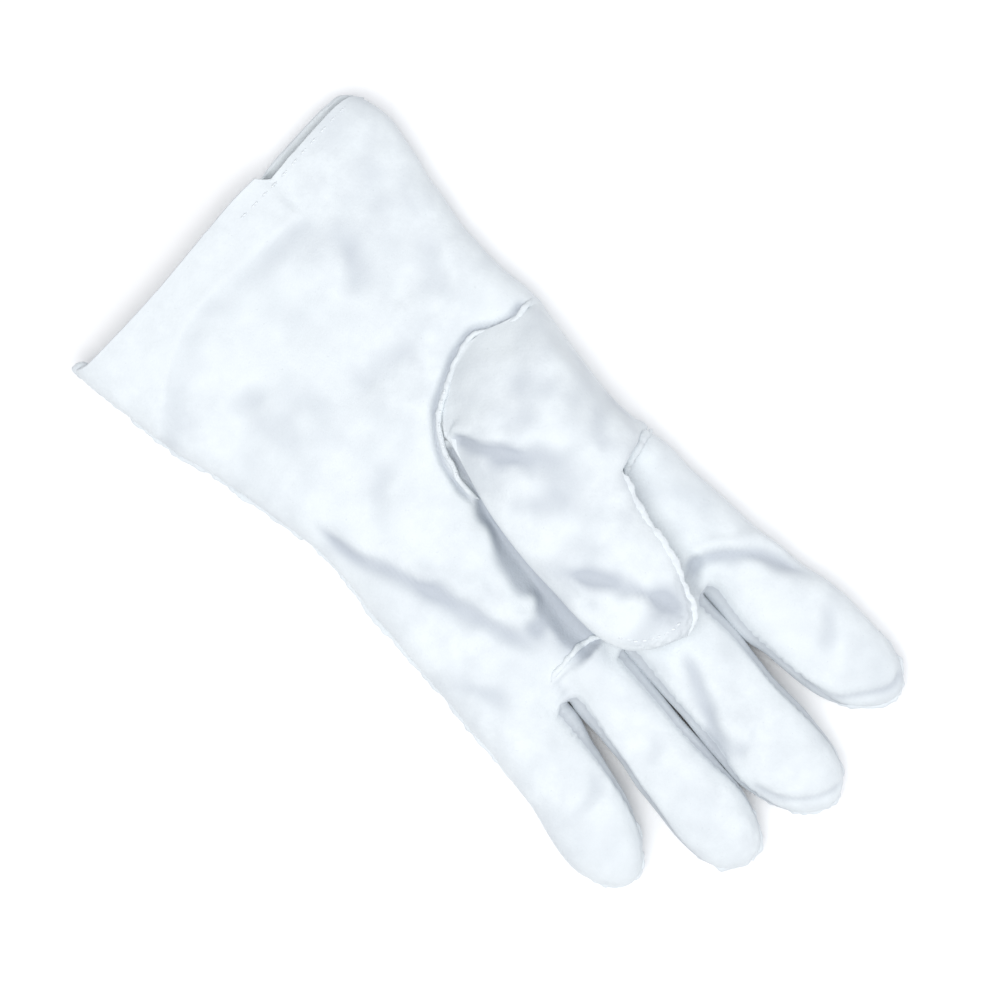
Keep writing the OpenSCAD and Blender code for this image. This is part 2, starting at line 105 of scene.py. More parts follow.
THUMB_SIDE = [
    (-160, -73), (-151, -77.5), (-139, -79.3), (-126, -76.5), (-110, -72.5), (-90, -69.5),
    (-70, -68), (-54, -69), (-40, -67), (-20, -63.5), (0, -61.5), (15, -62.5), (26, -65),
    (50, -66), (75, -67.2),
]
LITTLE_SIDE = [
    (-160, 75), (-152, 76.2), (-142, 75.6), (-130, 75), (-118, 73.5), (-100, 70.3), (-80, 66.5),
    (-60, 63), (-40, 61.7), (0, 62.5), (25, 65), (50, 66.8), (75, 69.5),
]
TOP_H = [(-164, 12), (-140, 12.5), (-110, 12.5), (-66, 12), (0, 12), (80, 12)]

CROTCH_Y = [75, 75, 68, 68, 68]
CROTCH_SHARE = [0, 0.222, 0.512, 0.715, 1]
# knuckle and end are a finger's joints, round is where its tip begins to round and blunt how square it
# is there, and seam is where the seam allowance begins to show
FINGERS = [
    {
        "name": "index", "knuckle": 103, "end": 129, "round": 116, "tip": 157,
        "blunt": 2.0, "seam": 133,
        "centre": [(60, -51.5), (91, -52.5), (121, -53.5), (141, -56.5), (160, -58.5)],
        "half": [(60, 15), (75, 16), (91, 18), (111, 19.6), (160, 19.9)],
    },
    {
        "name": "middle", "knuckle": 101, "end": 129, "round": 131, "tip": 168,
        "blunt": 2.2, "seam": 146,
        "centre": [(60, -16.5), (121, -12.5), (141, -11.2), (160, -12), (170, -13.5)],
        "half": [(60, 19), (121, 19.7), (141, 18.8), (162, 18.5)],
    },
    {
        "name": "ring", "knuckle": 98, "end": 126, "round": 131, "tip": 162.2,
        "blunt": 2.4, "seam": 145,
        "centre": [(60, 17), (101, 21.6), (136, 25.1), (156, 25.8), (164, 24.4)],
        "half": [(60, 13.5), (101, 15.5), (136, 15.9), (162, 15.5)],
    },
    {
        "name": "little", "knuckle": 92, "end": 113, "round": 96, "tip": 135,
        "blunt": 2.0, "seam": 110,
        "centre": [(60, 50), (91, 55), (111, 59.3), (121, 60.8), (137, 62.2)],
        "half": [(60, 16.5), (91, 18.8), (160, 19.2)],
    },
]

# Thumb: the ends of the fold at its root, and its two edges as (share of its length, x, y)
FOLD_A = np.array([-8.4, -33.8])
FOLD_B = np.array([-44.4, 19.2])
FOLD_WAY = (FOLD_B - FOLD_A) / np.linalg.norm(FOLD_B - FOLD_A)
FOLD_ACROSS = np.array([FOLD_WAY[1], -FOLD_WAY[0]])  # across the fold, towards the thumb
PALM_EDGE = [(0, -6.4, -35.6), (0.14, 1, -9), (0.28, 5, 11), (0.45, 6.6, 33), (0.72, 6.4, 59),
             (0.88, 2, 70), (1, -5, 76)]
INDEX_EDGE = [(0, -44.4, 19.2), (0.14, -42.4, 26.5), (0.28, -40.6, 35), (0.45, -38.2, 46),
              (0.72, -31, 68), (0.88, -25, 77.5), (1, -18, 81.5)]
# Wing of leather at the thumb's root: its outer edge, from the palm end of the fold along the seam,
# then up the side of the hand, then along the web seam
WING = [(0, -5.5, -36.5), (0.08, -14.4, -46.8), (0.18, -25, -52.5), (0.28, -36, -56.3),
        (0.38, -46.5, -55), (0.47, -59, -51), (0.53, -69.2, -52), (0.6, -68.3, -42),
        (0.7, -65.3, -22), (0.8, -62.9, -3), (0.88, -63.6, 10.5), (0.91, -65.2, 14.5),
        (0.95, -56, 17.2), (1, -44.4, 18.2)]
WING_Z = [(0, 25), (0.08, 24.6), (0.4, 24.4), (0.47, 23), (0.53, 13), (0.6, 12), (0.88, 12),
          (0.91, 14), (0.95, 24.5), (1, 25.2)]


# ---------- numbers ----------
def curve(table, at):
    """Smooth curve through a table of (position, value), the same one as the CAD part's."""
    p, v = np.array(table, float).T
    q = np.clip(at, p[0], p[-1])
    i = np.clip(np.searchsorted(p, q, side="right") - 1, 0, len(p) - 2)
    low = np.maximum(np.arange(len(p)) - 1, 0)
    high = np.minimum(np.arange(len(p)) + 1, len(p) - 1)
    g = (v[high] - v[low]) / (p[high] - p[low])
    h = p[i + 1] - p[i]
    t = (q - p[i]) / h
    t2, t3 = t * t, t * t * t
    return (
        (2 * t3 - 3 * t2 + 1) * v[i] + (t3 - 2 * t2 + t) * h * g[i]
        + (3 * t2 - 2 * t3) * v[i + 1] + (t3 - t2) * h * g[i + 1]
    )


def track(table, at):
    """Smooth line in the plane through a table of (share, x, y)."""
    return np.stack([curve([(row[0], row[m]) for row in table], at) for m in (1, 2)], -1)


def mix(a, b, t):
    return a + (b - a) * t


def ease(t):
    t = np.clip(t, 0, 1)
    return t * t * (3 - 2 * t)


def waves(points, length, seed, count=20):
    """Smooth random field of about unit size, whose bumps are about that length in millimetres."""
    rng = np.random.default_rng(seed)
    way = rng.normal(size=(count, 3))
    way /= np.linalg.norm(way, axis=1)[:, None]
    way *= (2 * math.pi / length) * rng.uniform(0.6, 1.4, (count, 1))
    phase = rng.uniform(0, 2 * math.pi, count)
    flat = points.reshape(-1, 3)
    total = np.zeros(len(flat))
    for k, f in zip(way, phase):
        total += np.sin(flat @ k + f)
    return (total * math.sqrt(2 / count)).reshape(points.shape[:-1])


def fit(points):
    """Drawn millimetres to the row frame's metres."""
    out = np.array(points, float)
    for a in (0, 1):
        out[..., a] = (out[..., a] - DRAWN_CENTRE[a]) * STRETCH[a] + CENTRE[a]
    return out * MM


def place(x, y, z=0.0):
    return tuple(float(c) for c in fit([x, y, z]))


# ---------- the hand as one structured sheet ----------
COLS = 30            # columns of one finger's front
CUFF_ROWS = 66
PALM_ROWS = 112
BASE_ROWS = 34       # rows from a crotch to where the fingertip begins to round
TIP_ROWS = 30
ROWS = CUFF_ROWS + PALM_ROWS + BASE_ROWS + TIP_ROWS + 1
CROTCH_ROW = CUFF_ROWS + PALM_ROWS
STRIP = 6            # cells across a fourchette


def fork_angle(k, y):
    """Where a finger's front ends and its fourchette begins: high at the crotch, low at the tip."""
    f = FINGERS[k]
    root = mix(CROTCH_ANGLE, FORK_ANGLE, ease((y - 72) / 36))
    return mix(root, TIP_FORK_ANGLE, ease((y - f["end"] + 8) / (f["tip"] - f["end"])))


def left_angle(k, y):
    return fork_angle(k, y) if k > 0 else np.zeros_like(y)


def right_angle(k, y):
    return fork_angle(k, y) if k < 3 else np.zeros_like(y)


def finger_point(k, angle, y, face):
    """Point on finger k, at an angle in degrees from its thumb side over that face."""
    f = FINGERS[k]
    share = np.clip((y - f["round"]) / (f["tip"] - f["round"]), 0, 1)
    s = (1 - share ** f["blunt"]) ** (1 / f["blunt"])
    w = np.maximum((curve(f["half"], y) - 0.5) * s, 1.0)
    h = np.maximum((MID_Z if face > 0 else BACK_H) * s ** 0.7, 0.9)
    c, n = np.cos(np.radians(angle)), np.abs(np.sin(np.radians(angle)))
    x = curve(f["centre"], y) - w * np.sign(c) * np.abs(c) ** ROUNDNESS
    return np.stack([x, y + 0 * x, MID_Z + face * h * n ** ROUNDNESS], -1)


def hand_height(x, y, face):
    """Height of the palm or the back: full and slightly domed, rolled over at both edges."""
    l, r = curve(THUMB_SIDE, y), curve(LITTLE_SIDE, y)
    h = curve(TOP_H, y) if face > 0 else BACK_H
    edge = np.clip(np.minimum(x - l, r - x) / 15.0, 0, 1)
    rolled = (1 - (1 - edge) ** 2.3) ** (1 / 2.3)
    u = np.clip(np.abs(2 * x - l - r) / (r - l), 0, 1)
    return MID_Z + face * h * rolled * (1 - 0.06 * u * u)


HEM_CORNER_X = -28.0
HEM_STEP = 1.6
MOUTH_AT = -150.0
ROUND_OVER = 26.0  # mm over which the flat hand turns into round fingers
FRONT_MOUTH = [(-80, -150), (-74, -155), (-66, -156.6), (-28, -154.2)]
MOUTH_LIFT = 14.0
HEM_MOUTH = [(-28, -158.6), (-14, -158.4), (10, -156.5), (34, -154.4), (62, -153.6), (70, -155.5),
             (74, -157.2), (78, -156.8)]
BACK_MOUTH = [(-80, -151), (-76, -156.5), (-68, -160.2), (-40, -159.8), (-14, -158.6), (34, -154),
              (62, -153.2), (70, -155.5), (74, -157.5), (78, -155)]


def mouth_y(x, face):
    """Edge of the cuff's mouth: the back shows past the front up to the corner of the hem."""
    if face < 0:
        return curve(BACK_MOUTH, x)
    step = ease((x - HEM_CORNER_X + HEM_STEP / 2) / HEM_STEP)
    return mix(curve(FRONT_MOUTH, x), curve(HEM_MOUTH, x), step)


def mouth_lift(x, y):
    """How far the back stands up inside the mouth, on the thumb's side."""
    return MOUTH_LIFT * ease((-141 - y) / 19) * ease((-22 - x) / 12) * ease((x + 77) / 12)


def finger_y(f, crotch, j):
    """How far up the hand row j of a finger lies, from its crotch to its tip."""
    if j <= CROTCH_ROW + BASE_ROWS:
        return mix(crotch, f["round"], (j - CROTCH_ROW) / BASE_ROWS)
    q = (j - CROTCH_ROW - BASE_ROWS) / TIP_ROWS
    return mix(f["round"], f["tip"], math.sin(q * math.pi / 2))


def sheet_y(k, j, t, crotch, face):
    """How far up the hand row j lies, at shares t across finger k."""
    if j <= CUFF_ROWS:
        share = mix(CROTCH_SHARE[k], CROTCH_SHARE[k + 1], t)
        x = mix(curve(THUMB_SIDE, MOUTH_AT), curve(LITTLE_SIDE, MOUTH_AT), share)
        return mix(mouth_y(x, face), WRIST_Y, j / CUFF_ROWS)
    if j <= CROTCH_ROW:
        return mix(WRIST_Y, crotch, (j - CUFF_ROWS) / PALM_ROWS)
    return finger_y(FINGERS[k], crotch, j) + 0 * t


def sheet_row(k, j, face):
    """Row j of the front or back over finger k: flat over the hand, round along the finger."""
    t = np.linspace(0, 1, COLS)
    crotch = mix(CROTCH_Y[k], CROTCH_Y[k + 1], t)
    y = sheet_y(k, j, t, crotch, face)
    first, last = left_angle(k, y), 180 - right_angle(k, y)
    angle = mix(first, last, t)
    c, c0, c1 = [(1 - np.cos(np.radians(a))) / 2 for a in (angle, first, last)]
    sides = curve(THUMB_SIDE, y), curve(LITTLE_SIDE, y)
    l = mix(*sides, CROTCH_SHARE[k]) + (STRIP_HALF if k > 0 else 0)
    r = mix(*sides, CROTCH_SHARE[k + 1]) - (STRIP_HALF if k < 3 else 0)
    x = mix(l, r, (c - c0) / (c1 - c0))
    p = finger_point(k, angle, y, face)
    s = ease((y - crotch + ROUND_OVER) / ROUND_OVER)
    row = np.stack([mix(x, p[:, 0], s), y, mix(hand_height(x, y, face), p[:, 2], s)], -1)
    if face < 0:
        row[:, 2] += mouth_lift(row[:, 0], y)
    return row


def hand_sheet(face):
    """Grid of points over the whole front or back, rows from the cuff's mouth to the fingertips."""
    return np.array([np.vstack([sheet_row(k, j, face) for k in range(4)]) for j in range(ROWS)])


def edges_of(faces):
    """Every edge of a mesh once, as sorted pairs of point numbers."""
    edges = set()
    for f in faces:
        for a, b in zip(f, f[1:] + f[:1]):
            edges.add((min(a, b), max(a, b)))
    return np.array(sorted(edges))


class Shell:
    """One skin under construction: points, and faces that each carry a piece's name."""

    def __init__(self):
        self.points = np.zeros((0, 3))
        self.faces = []
        self.names = []
        # painted shade and tone of each point, for the leather's colour
        self.hollow = None

    def add_points(self, points):
        first = len(self.points)
        flat = points.reshape(-1, 3)
        self.points = np.vstack([self.points, flat])
        return (first + np.arange(len(flat))).reshape(points.shape[:-1])

    def add_grid(self, ids, name, flip=False, skip=None):
        """Faces over a grid of point numbers. name is a text or a function of (row, column)."""
        for j in range(ids.shape[0] - 1):
            for i in range(ids.shape[1] - 1):
                if skip and skip(j, i):
                    continue
                f = [ids[j, i], ids[j, i + 1], ids[j + 1, i + 1], ids[j + 1, i]]
                unique = list(dict.fromkeys(f))
                if len(unique) < 3:
                    continue
                self.faces.append(unique[::-1] if flip else unique)
                self.names.append(name if isinstance(name, str) else name(j, i))

    def add_fan(self, ring, lift, split, high_name, low_name, flip=False):
        """Closes a ring of points from a hub at its middle, moved by lift along the hand."""
        ring = list(dict.fromkeys(ring))
        hub = self.add_points(self.points[ring].mean(0)[None] + [[0, lift, 0]])[0]
        for a, b in zip(ring, ring[1:] + ring[:1]):
            high = self.points[[a, b]][:, 2].mean() > split
            self.faces.append([hub, b, a] if flip else [hub, a, b])
            self.names.append(high_name if high else low_name)

    def normals(self):
        return point_normals(self.points, self.faces)

    def smooth(self, amount, rounds, keep):
        """Moves each point towards its neighbours' mean, with the points in keep held."""
        e = edges_of(self.faces)
        n = len(self.points)
        count = np.bincount(e.ravel(), minlength=n)
        count = np.maximum(count, 1)[:, None]
        free = np.ones((n, 1))
        free[keep] = 0
        for _ in range(rounds):
            total = np.zeros((n, 3))
            np.add.at(total, e[:, 0], self.points[e[:, 1]])
            np.add.at(total, e[:, 1], self.points[e[:, 0]])
            self.points += (total / count - self.points) * amount * free


def point_normals(points, faces):
    """Area-weighted normal of each point."""
    total = np.zeros_like(points)
    tri = []
    for f in faces:
        for m in range(1, len(f) - 1):
            tri.append((f[0], f[m], f[m + 1]))
    tri = np.array(tri)
    a, b, c = points[tri[:, 0]], points[tri[:, 1]], points[tri[:, 2]]
    n = np.cross(b - a, c - a)
    for m in range(3):
        np.add.at(total, tri[:, m], n)
    size = np.linalg.norm(total, axis=1)
    size[size < 1e-12] = 1
    return total / size[:, None]


# ---------- which piece each face belongs to ----------
def rows_y(k, j):
    """How far up the hand row j lies in the middle of finger k."""
    return finger_y(FINGERS[k], (CROTCH_Y[k] + CROTCH_Y[k + 1]) / 2, j)


def row_at(k, y):
    return min(range(CROTCH_ROW, ROWS), key=lambda j: abs(rows_y(k, j) - y))


for k, f in enumerate(FINGERS):
    f["base_row"] = row_at(k, f["knuckle"] - 13.5)
    f["mid_row"] = row_at(k, (f["knuckle"] + f["end"]) / 2)
    f["mid_y"] = rows_y(k, f["mid_row"])
SEAM_Y = 60.0    # the seam across the base of the two middle fingers
CUFF_CUT_Y = WRIST_Y + 22
SEAM_ROW = CUFF_ROWS + round(PALM_ROWS * (SEAM_Y - WRIST_Y) / (69.0 - WRIST_Y))
CUFF_CUT = CUFF_ROWS + round(PALM_ROWS * (CUFF_CUT_Y - WRIST_Y) / (70.0 - WRIST_Y))
HOLE_INSET = 6.0     # how far the thumb's opening stays inside the wing's edge
HOLE_TO_FOLD = 12.0  # how far it stays from the fold


def in_hole(x, y):
    """True where a point of the palm lies inside the thumb's opening, well under the wing."""
    edge = track(WING, np.linspace(0, 1, 120))
    gap = np.min(np.hypot(x - edge[:, 0], y - edge[:, 1]))
    beyond = (x - FOLD_A[0]) * FOLD_ACROSS[0] + (y - FOLD_A[1]) * FOLD_ACROSS[1]
    px, py = edge[:, 0], edge[:, 1]
    qx, qy = np.roll(px, -1), np.roll(py, -1)
    hit = (py > y) != (qy > y)
    at = px + (y - py) * (qx - px) / np.where(hit, qy - py, 1)
    inside = np.count_nonzero(hit & (x < at)) % 2 == 1
    return inside and gap > HOLE_INSET and beyond < -HOLE_TO_FOLD


def sheet_name(j, i, face, cuff, base):
    """Piece of a face in row j and column i: cuff and base are the pieces below the fingers."""
    f = FINGERS[i // COLS]
    if j < f["base_row"]:
        return cuff if j < CUFF_CUT else base
    return f["name"] + ("_middle_" if j < f["mid_row"] else "_tip_") + face


def front_name(j, i):
    in_middle = j >= SEAM_ROW and COLS <= i < 3 * COLS - 1
    return sheet_name(j, i, "front", "cuff_front", "middle_ring_front" if in_middle else "palm_panel")


def back_name(j, i):
    return sheet_name(j, i, "back", "cuff_back", "back_panel")


FORK_NAMES = ["index_middle_fork", "middle_ring_fork", "ring_little_fork"]
SIDE_NAMES = [
    (None, "index_inner_fourchette"),
    ("middle_thumbside_fourchette", "middle_ringside_fourchette"),
    ("ring_middleside_fourchette", "ring_littleside_fourchette"),
    ("little_inner_fourchette", None),
]
TOUCH_Y = [112, 131, 88]   # how far up the sides of two neighbouring fingers touch
LEAN = [0.72, 0.45, 0.35]  # where they touch between them, from the thumb's side
SIDE_OVERLAP = 0.9         # how far each side reaches past that line
MEET_ANGLE = 30.0          # where round a finger its reach towards the next is measured
PARTING = 14.0             # mm over which the touching sides part


def fork_meeting(k, front, path, turn):
    """For each point down and up the crotch: where its side meets the other finger, and how much."""
    out = []
    for n, (j, i) in enumerate(path):
        y = front[j, i][1]
        a = finger_point(k, np.array(180 - MEET_ANGLE), np.array(y), 1)[0]
        b = finger_point(k + 1, np.array(MEET_ANGLE), np.array(y), 1)[0]
        over = SIDE_OVERLAP if n < turn else -SIDE_OVERLAP
        close = 1 - ease((y - TOUCH_Y[k] + PARTING) / PARTING)
        out.append((mix(a, b, LEAN[k]) + over, close))
    return out


def fork_grid(shell, k, front, back, front_ids, back_ids):
    """The fourchette between finger k and the next: down one finger's side and up the other's."""
    down = [(j, (k + 1) * COLS - 1) for j in range(ROWS - 1, CROTCH_ROW - 1, -1)]
    up = [(j, (k + 1) * COLS) for j in range(CROTCH_ROW, ROWS)]
    path = down + up
    ids = np.zeros((STRIP + 1, len(path)), int)
    ids[0] = [front_ids[p] for p in path]
    ids[STRIP] = [back_ids[p] for p in path]
    meet = fork_meeting(k, front, path, len(down))
    for s in range(1, STRIP):
        q = 1 - 2 * s / STRIP
        low = np.clip(1 - ((q + 0.35) / 1.3) ** 2, 0, 1)
        line = []
        for n, (j, i) in enumerate(path):
            a, b = front[j, i], back[j, i]
            finger, side = (k, 1) if n < len(down) else (k + 1, 0)
            y = (a[1] + b[1]) / 2
            angle = right_angle(k, np.array(y)) if side else left_angle(k + 1, np.array(y))
            turn = angle * abs(q)
            p = finger_point(finger, 180 - turn if side else turn, np.array(y), 1 if q > 0 else -1)
            x = mix(p[0], meet[n][0], meet[n][1] * low)
            line.append([x, y, p[2]])
        ids[s] = shell.add_points(np.array(line))

    def name(s, n):
        on_first = n < len(down) - 1
        j = path[n + 1][0] if on_first else path[n][0]
        f = FINGERS[k if on_first else k + 1]
        side = SIDE_NAMES[k][1] if on_first else SIDE_NAMES[k + 1][0]
        if n == len(down) - 1 or j < f["base_row"]:
            return FORK_NAMES[k]
        return side if j < f["mid_row"] else side + "_tip"

    shell.add_grid(ids, name)
    return ids


def close_tip(shell, k, front_ids, back_ids, forks):
    """A small fan over the very end of a finger."""
    cols = range(k * COLS, (k + 1) * COLS)
    ring = [front_ids[ROWS - 1, i] for i in cols]
    if k < 3:
        ring += [forks[k][s, 0] for s in range(1, STRIP)]
    ring += [back_ids[ROWS - 1, i] for i in reversed(cols)]
    if k > 0:
        ring += [forks[k - 1][s, -1] for s in range(STRIP - 1, 0, -1)]
    name = FINGERS[k]["name"]
    shell.add_fan(ring, 0.25, MID_Z, name + "_tip_front", name + "_tip_back")


# ---------- sculpting ----------
CREASE_STEPS = 80


def crease(points, path, depth, width, ridge, ends):
    """Height of a fold along a path: a valley with a raised shoulder on its left side.

    width is one value, or the widths at the start and at the end of the path.
    """
    first, last = width if isinstance(width, tuple) else (width, width)
    u = np.linspace(0, 1, len(path))
    line = track([(a, *p) for a, p in zip(u, path)], np.linspace(0, 1, CREASE_STEPS))
    seg = line[1:] - line[:-1]
    size = np.linalg.norm(seg, axis=1)
    along = np.concatenate([[0], np.cumsum(size)])
    flat = points.reshape(-1, 3)[:, :2]
    reach = 4 * max(first, last)
    box_low, box_high = line.min(0) - reach, line.max(0) + reach
    near = np.where(np.all((flat > box_low) & (flat < box_high), axis=1))[0]
    out = np.zeros(len(flat))
    best = np.full(len(near), 1e9)
    at = np.zeros(len(near))
    side = np.zeros(len(near))
    for n in range(len(seg)):
        d = flat[near] - line[n]
        q = np.clip(d @ seg[n] / size[n] ** 2, 0, 1)
        r = d - q[:, None] * seg[n]
        gap = np.linalg.norm(r, axis=1)
        closer = gap < best
        best[closer] = gap[closer]
        at[closer] = (along[n] + q * size[n])[closer]
        cross = seg[n][0] * d[:, 1] - seg[n][1] * d[:, 0]
        side[closer] = np.sign(cross)[closer]
    wide = mix(first, last, at / along[-1]) * (1 + 0.18 * waves(points.reshape(-1, 3)[near], 13, 71))
    signed = best * side / wide
    fade = ease(at / ends[0]) * ease((along[-1] - at) / ends[1])
    shape = -np.exp(-signed ** 2) + ridge * np.exp(-((signed - 1.9) / 1.1) ** 2)
    out[near] = depth * shape * fade
    return out.reshape(points.shape[:-1])


PALM_FOLDS = [
    # path, depth, width, ridge, ends
    ([(52.5, -52), (51.5, -31), (43.5, -12), (33.5, 22), (23, 54.5)], 2.1, (2.6, 4.8), 0.5, (14, 24)),
    ([(-33, 68), (-43, 66), (-60, 80), (-72, 106)], 2.4, (2.4, 4.2), 0.6, (6, 20)),
    ([(-14, 84), (-7, 100), (2, 118), (6, 134)], 1.9, (2.6, 5.6), 0.5, (10, 14)),
    ([(-14, 123), (-6, 127.5), (3, 130)], 1.1, 2.8, 0.5, (6, 5)),
    ([(1, -14), (6, 8), (9.5, 30), (11.5, 48), (9.5, 62)], 5.2, (2.6, 8.0), 0.0, (10, 5)),
    ([(-66, -53), (-54, -52.5), (-42.5, -58.4), (-34, -58.2), (-24, -54.4), (-13.4, -49), (-5.6, -42.3),
      (0.8, -32), (3.8, -19), (3.4, -10)], 2.2, (1.5, 1.0), 0.2, (4, 6)),
    ([(-5.5, -34), (-3.2, -28), (-1.2, -20), (0.8, -12), (2.5, -6)], 2.4, (2.2, 1.3), 0.0, (1.5, 4)),
    ([(40, 92), (50, 100), (66, 100)], 0.9, 3.0, 0.3, (8, 10)),
    ([(14, 100), (24, 106), (32, 104)], 0.8, 3.0, 0.3, (8, 8)),
    ([(46, -108), (37, -100), (22, -98)], 1.1, 4.5, 0.3, (12, 14)),
    ([(-18, -98), (-30, -112), (-36, -124)], 1.1, 5.0, 0.3, (10, 12)),
    ([(-30, -66), (-10, -74), (14, -70)], 0.8, 5.5, 0.3, (14, 16)),
    ([(10, -45), (26, -40), (38, -24)], 0.7, 4.5, 0.3, (10, 12)),
    ([(-60, -100), (-48, -84), (-44, -68)], 0.9, 5.0, 0.3, (12, 12)),
    ([(-66, 110), (-58, 120), (-46, 124)], 1.0, 3.2, 0.3, (8, 10)),
    ([(60, 30), (52, 44), (50, 58)], 0.9, 4.0, 0.3, (10, 10)),
    ([(-35.5, 124), (-40.8, 137.5), (-49, 145.7), (-60, 152), (-69, 150)], 1.2, 1.3, 0.5, (5, 4)),
    ([(4, 139), (1.6, 150), (-5.5, 158.5), (-13, 163), (-22, 165)], 1.2, 1.3, 0.5, (5, 5)),
    ([(30.5, 56.5), (32.5, 62), (33, 69)], 1.2, 1.6, 0.3, (3, 3)),
    ([(-40, 56), (-39, 64), (-36.5, 72)], 1.0, 2.0, 0.4, (4, 3)),
]
# Where the leather is painted darker, set by comparing tones with the glove's picture: part of that is
# painted shade from its light, such as beside the thumb's palm edge, and none of it is known to be
# wear. Middle x, middle y, reach in x, reach in y, strength
PALM_PATCHES = [
    (23, -87, 24, 20, 0.95), (37, 8, 12, 30, 0.25), (-58, 46, 12, 26, 0.8), (-58, -6, 9, 22, 0.3),
    (12, 52, 12, 20, 1.2),
    (-20, -100, 26, 18, 0.35), (50, -45, 14, 26, 0.4), (-10, 112, 8, 12, 0.4), (24, 120, 8, 20, 0.35),
    (-62, 130, 9, 14, 0.35), (62, 115, 9, 14, 0.25), (-60, -125, 14, 16, 0.35),
]
# The same on the thumb: darker patches that are partly painted shade on its slopes away from the light.
THUMB_PATCHES = [(-26, 6, 20, 20, 1.0), (-14, 44, 18, 14, 1.0), (-14, 68, 14, 10, 0.8)]


def darkening(p, patches):
    """How much darker the leather is painted, from 0 to 1: random tone and soft patches with ragged
    edges, partly painted shade.
    """
    total = 0.1 + 0.2 * waves(p, 40, 75) + 0.14 * waves(p, 14, 79)
    for x, y, rx, ry, strength in patches:
        far = np.hypot((p[..., 0] - x) / rx, (p[..., 1] - y) / ry) + 0.16 * waves(p, 17, 77)
        total = total + strength * (1 - ease(far))
    return np.clip(total, 0, 1)


# Undulation of the leather: height, length and seed of each size of wave
HAND_BUMPS = [(0.62, 52, 3), (0.17, 21, 5), (0.045, 9, 7), (0.02, 3.6, 9)]
THUMB_BUMPS = [(0.5, 34, 13), (0.2, 15, 15), (0.06, 7.5, 17), (0.02, 3.4, 19)]
HEM_HEIGHT = 1.5
HEM_LINE = [(-30, -134.5), (0, -136.5), (30, -136), (50, -128), (70, -114)]


def hem_plateau(p):
    """How far the turned hem inside the mouth shows through, from 0 to 1."""
    x, y = p[..., 0], p[..., 1]
    return ease((x - HEM_CORNER_X) / HEM_STEP) * ease((curve(HEM_LINE, x) - y) / 2.4)


def base_roll(p):
    """The ring finger's leather starts as a full roll above the seam at its base."""
    x, y = p[..., 0], p[..., 1]
    beyond = y - 57.5 + 0.3 * waves(p, 9, 21)
    across = ease((x - 2) / 6) * ease((34 - x) / 4)
    return across * 1.3 * ease(beyond / 1.6) * (1 - ease((beyond - 3) / 9))


def seam_puckers(p):
    """Small bumps in the leather beside the seams round the fingertips."""
    x, y = p[..., 0], p[..., 1]
    total = np.zeros(len(p))
    bumps = waves(p, 3.4, 25)
    for f in FINGERS:
        share = np.clip((y - f["round"]) / (f["tip"] - f["round"]), 0, 1)
        w = curve(f["half"], y) * (1 - share ** f["blunt"]) ** (1 / f["blunt"])
        inside = w - np.abs(x - curve(f["centre"], y))
        near = ease((inside + 3) / 2) * (1 - ease((inside - 3) / 3))
        total += near * ease((y - f["seam"] + 6) / 8) * 0.2 * bumps
    return total


def undulation(p, bumps):
    return sum(height * waves(p, length, seed) for height, length, seed in bumps)


def facing(n, way):
    """How squarely each normal faces up (way 1) or down (way -1), from 0 to 1."""
    return np.clip(way * n[:, 2] * 1.6, 0, 1)


def fold_heights(p, up, folds):
    total = np.zeros(len(p))
    for fold in folds:
        total += up * crease(p, *fold)
    return total


def hollow_of(folds):
    """Painted shade in the folds, from how deep in a fold each point lies: 1 is 1.6 mm down."""
    return np.clip(-folds / 1.6, 0, 1.4)


def sculpt_hand(shell):
    """Soft undulation, folds, hem and small puckers, pushed along the skin's normals."""
    p = shell.points
    n = shell.normals()
    up = facing(n, 1)
    plateau = hem_plateau(p)
    folds = fold_heights(p, up, PALM_FOLDS)
    # Painted shade for the colour: the folds' hollows, the darker patches, and in beside a painted
    # shadow in a band just outside the hem line.
    beside = np.exp(-((p[:, 1] - curve(HEM_LINE, p[:, 0]) - 3) / 5) ** 2) * ease((p[:, 0] + 34) / 8)
    shell.hollow = hollow_of(folds)
    shell.hollow += (0.55 * darkening(p, PALM_PATCHES) + 0.3 * beside) * (1 - plateau)
    d = undulation(p, HAND_BUMPS) * (1 - 0.75 * facing(n, -1))
    d += folds
    d += up * HEM_HEIGHT * plateau
    d += up * (base_roll(p) + seam_puckers(p))
    return p + n * d[:, None]


GROOVE = 0.75        # how deep the leather sinks at a seam
PUCKER_PITCH = 3.4


def seam_grooves(shell):
    """Points on the border between two leathers sink, with a pucker every few millimetres."""
    owners = {}
    for f, name in zip(shell.faces, shell.names):
        for v in f:
            owners.setdefault(v, set()).add(leather_of(name))
    border = np.array([v for v, s in owners.items() if len(s) > 1])
    p = shell.points
    run = p[border, 1] + 0.7 * p[border, 0]
    pull = 1 + 0.45 * np.sin(run * 2 * math.pi / PUCKER_PITCH) * waves(p[border], 14, 31)
    move = np.zeros(len(p))
    move[border] = GROOVE * pull
    e = edges_of(shell.faces)
    spread = np.zeros(len(p))
    for a, b in ((0, 1), (1, 0)):
        np.maximum.at(spread, e[:, a], move[e[:, b]] * 0.35)
    spread[border] = move[border]
    return p - shell.normals() * spread[:, None], border


def leather_of(name):
    """The cut of leather a piece belongs to: pieces of one leather meet without a seam."""
    outer = ("index_middle_front", "index_tip_front", "little_middle_front", "little_tip_front")
    if name in ("palm_panel", "cuff_front") or name.startswith(outer):
        return "palm"
    if "fork" in name or "fourchette" in name:
        return "fourchette"
    if name.endswith("_back") or name == "back_panel":
        return "back"
    return "front"


# ---------- meshes ----------
MATERIALS = {}


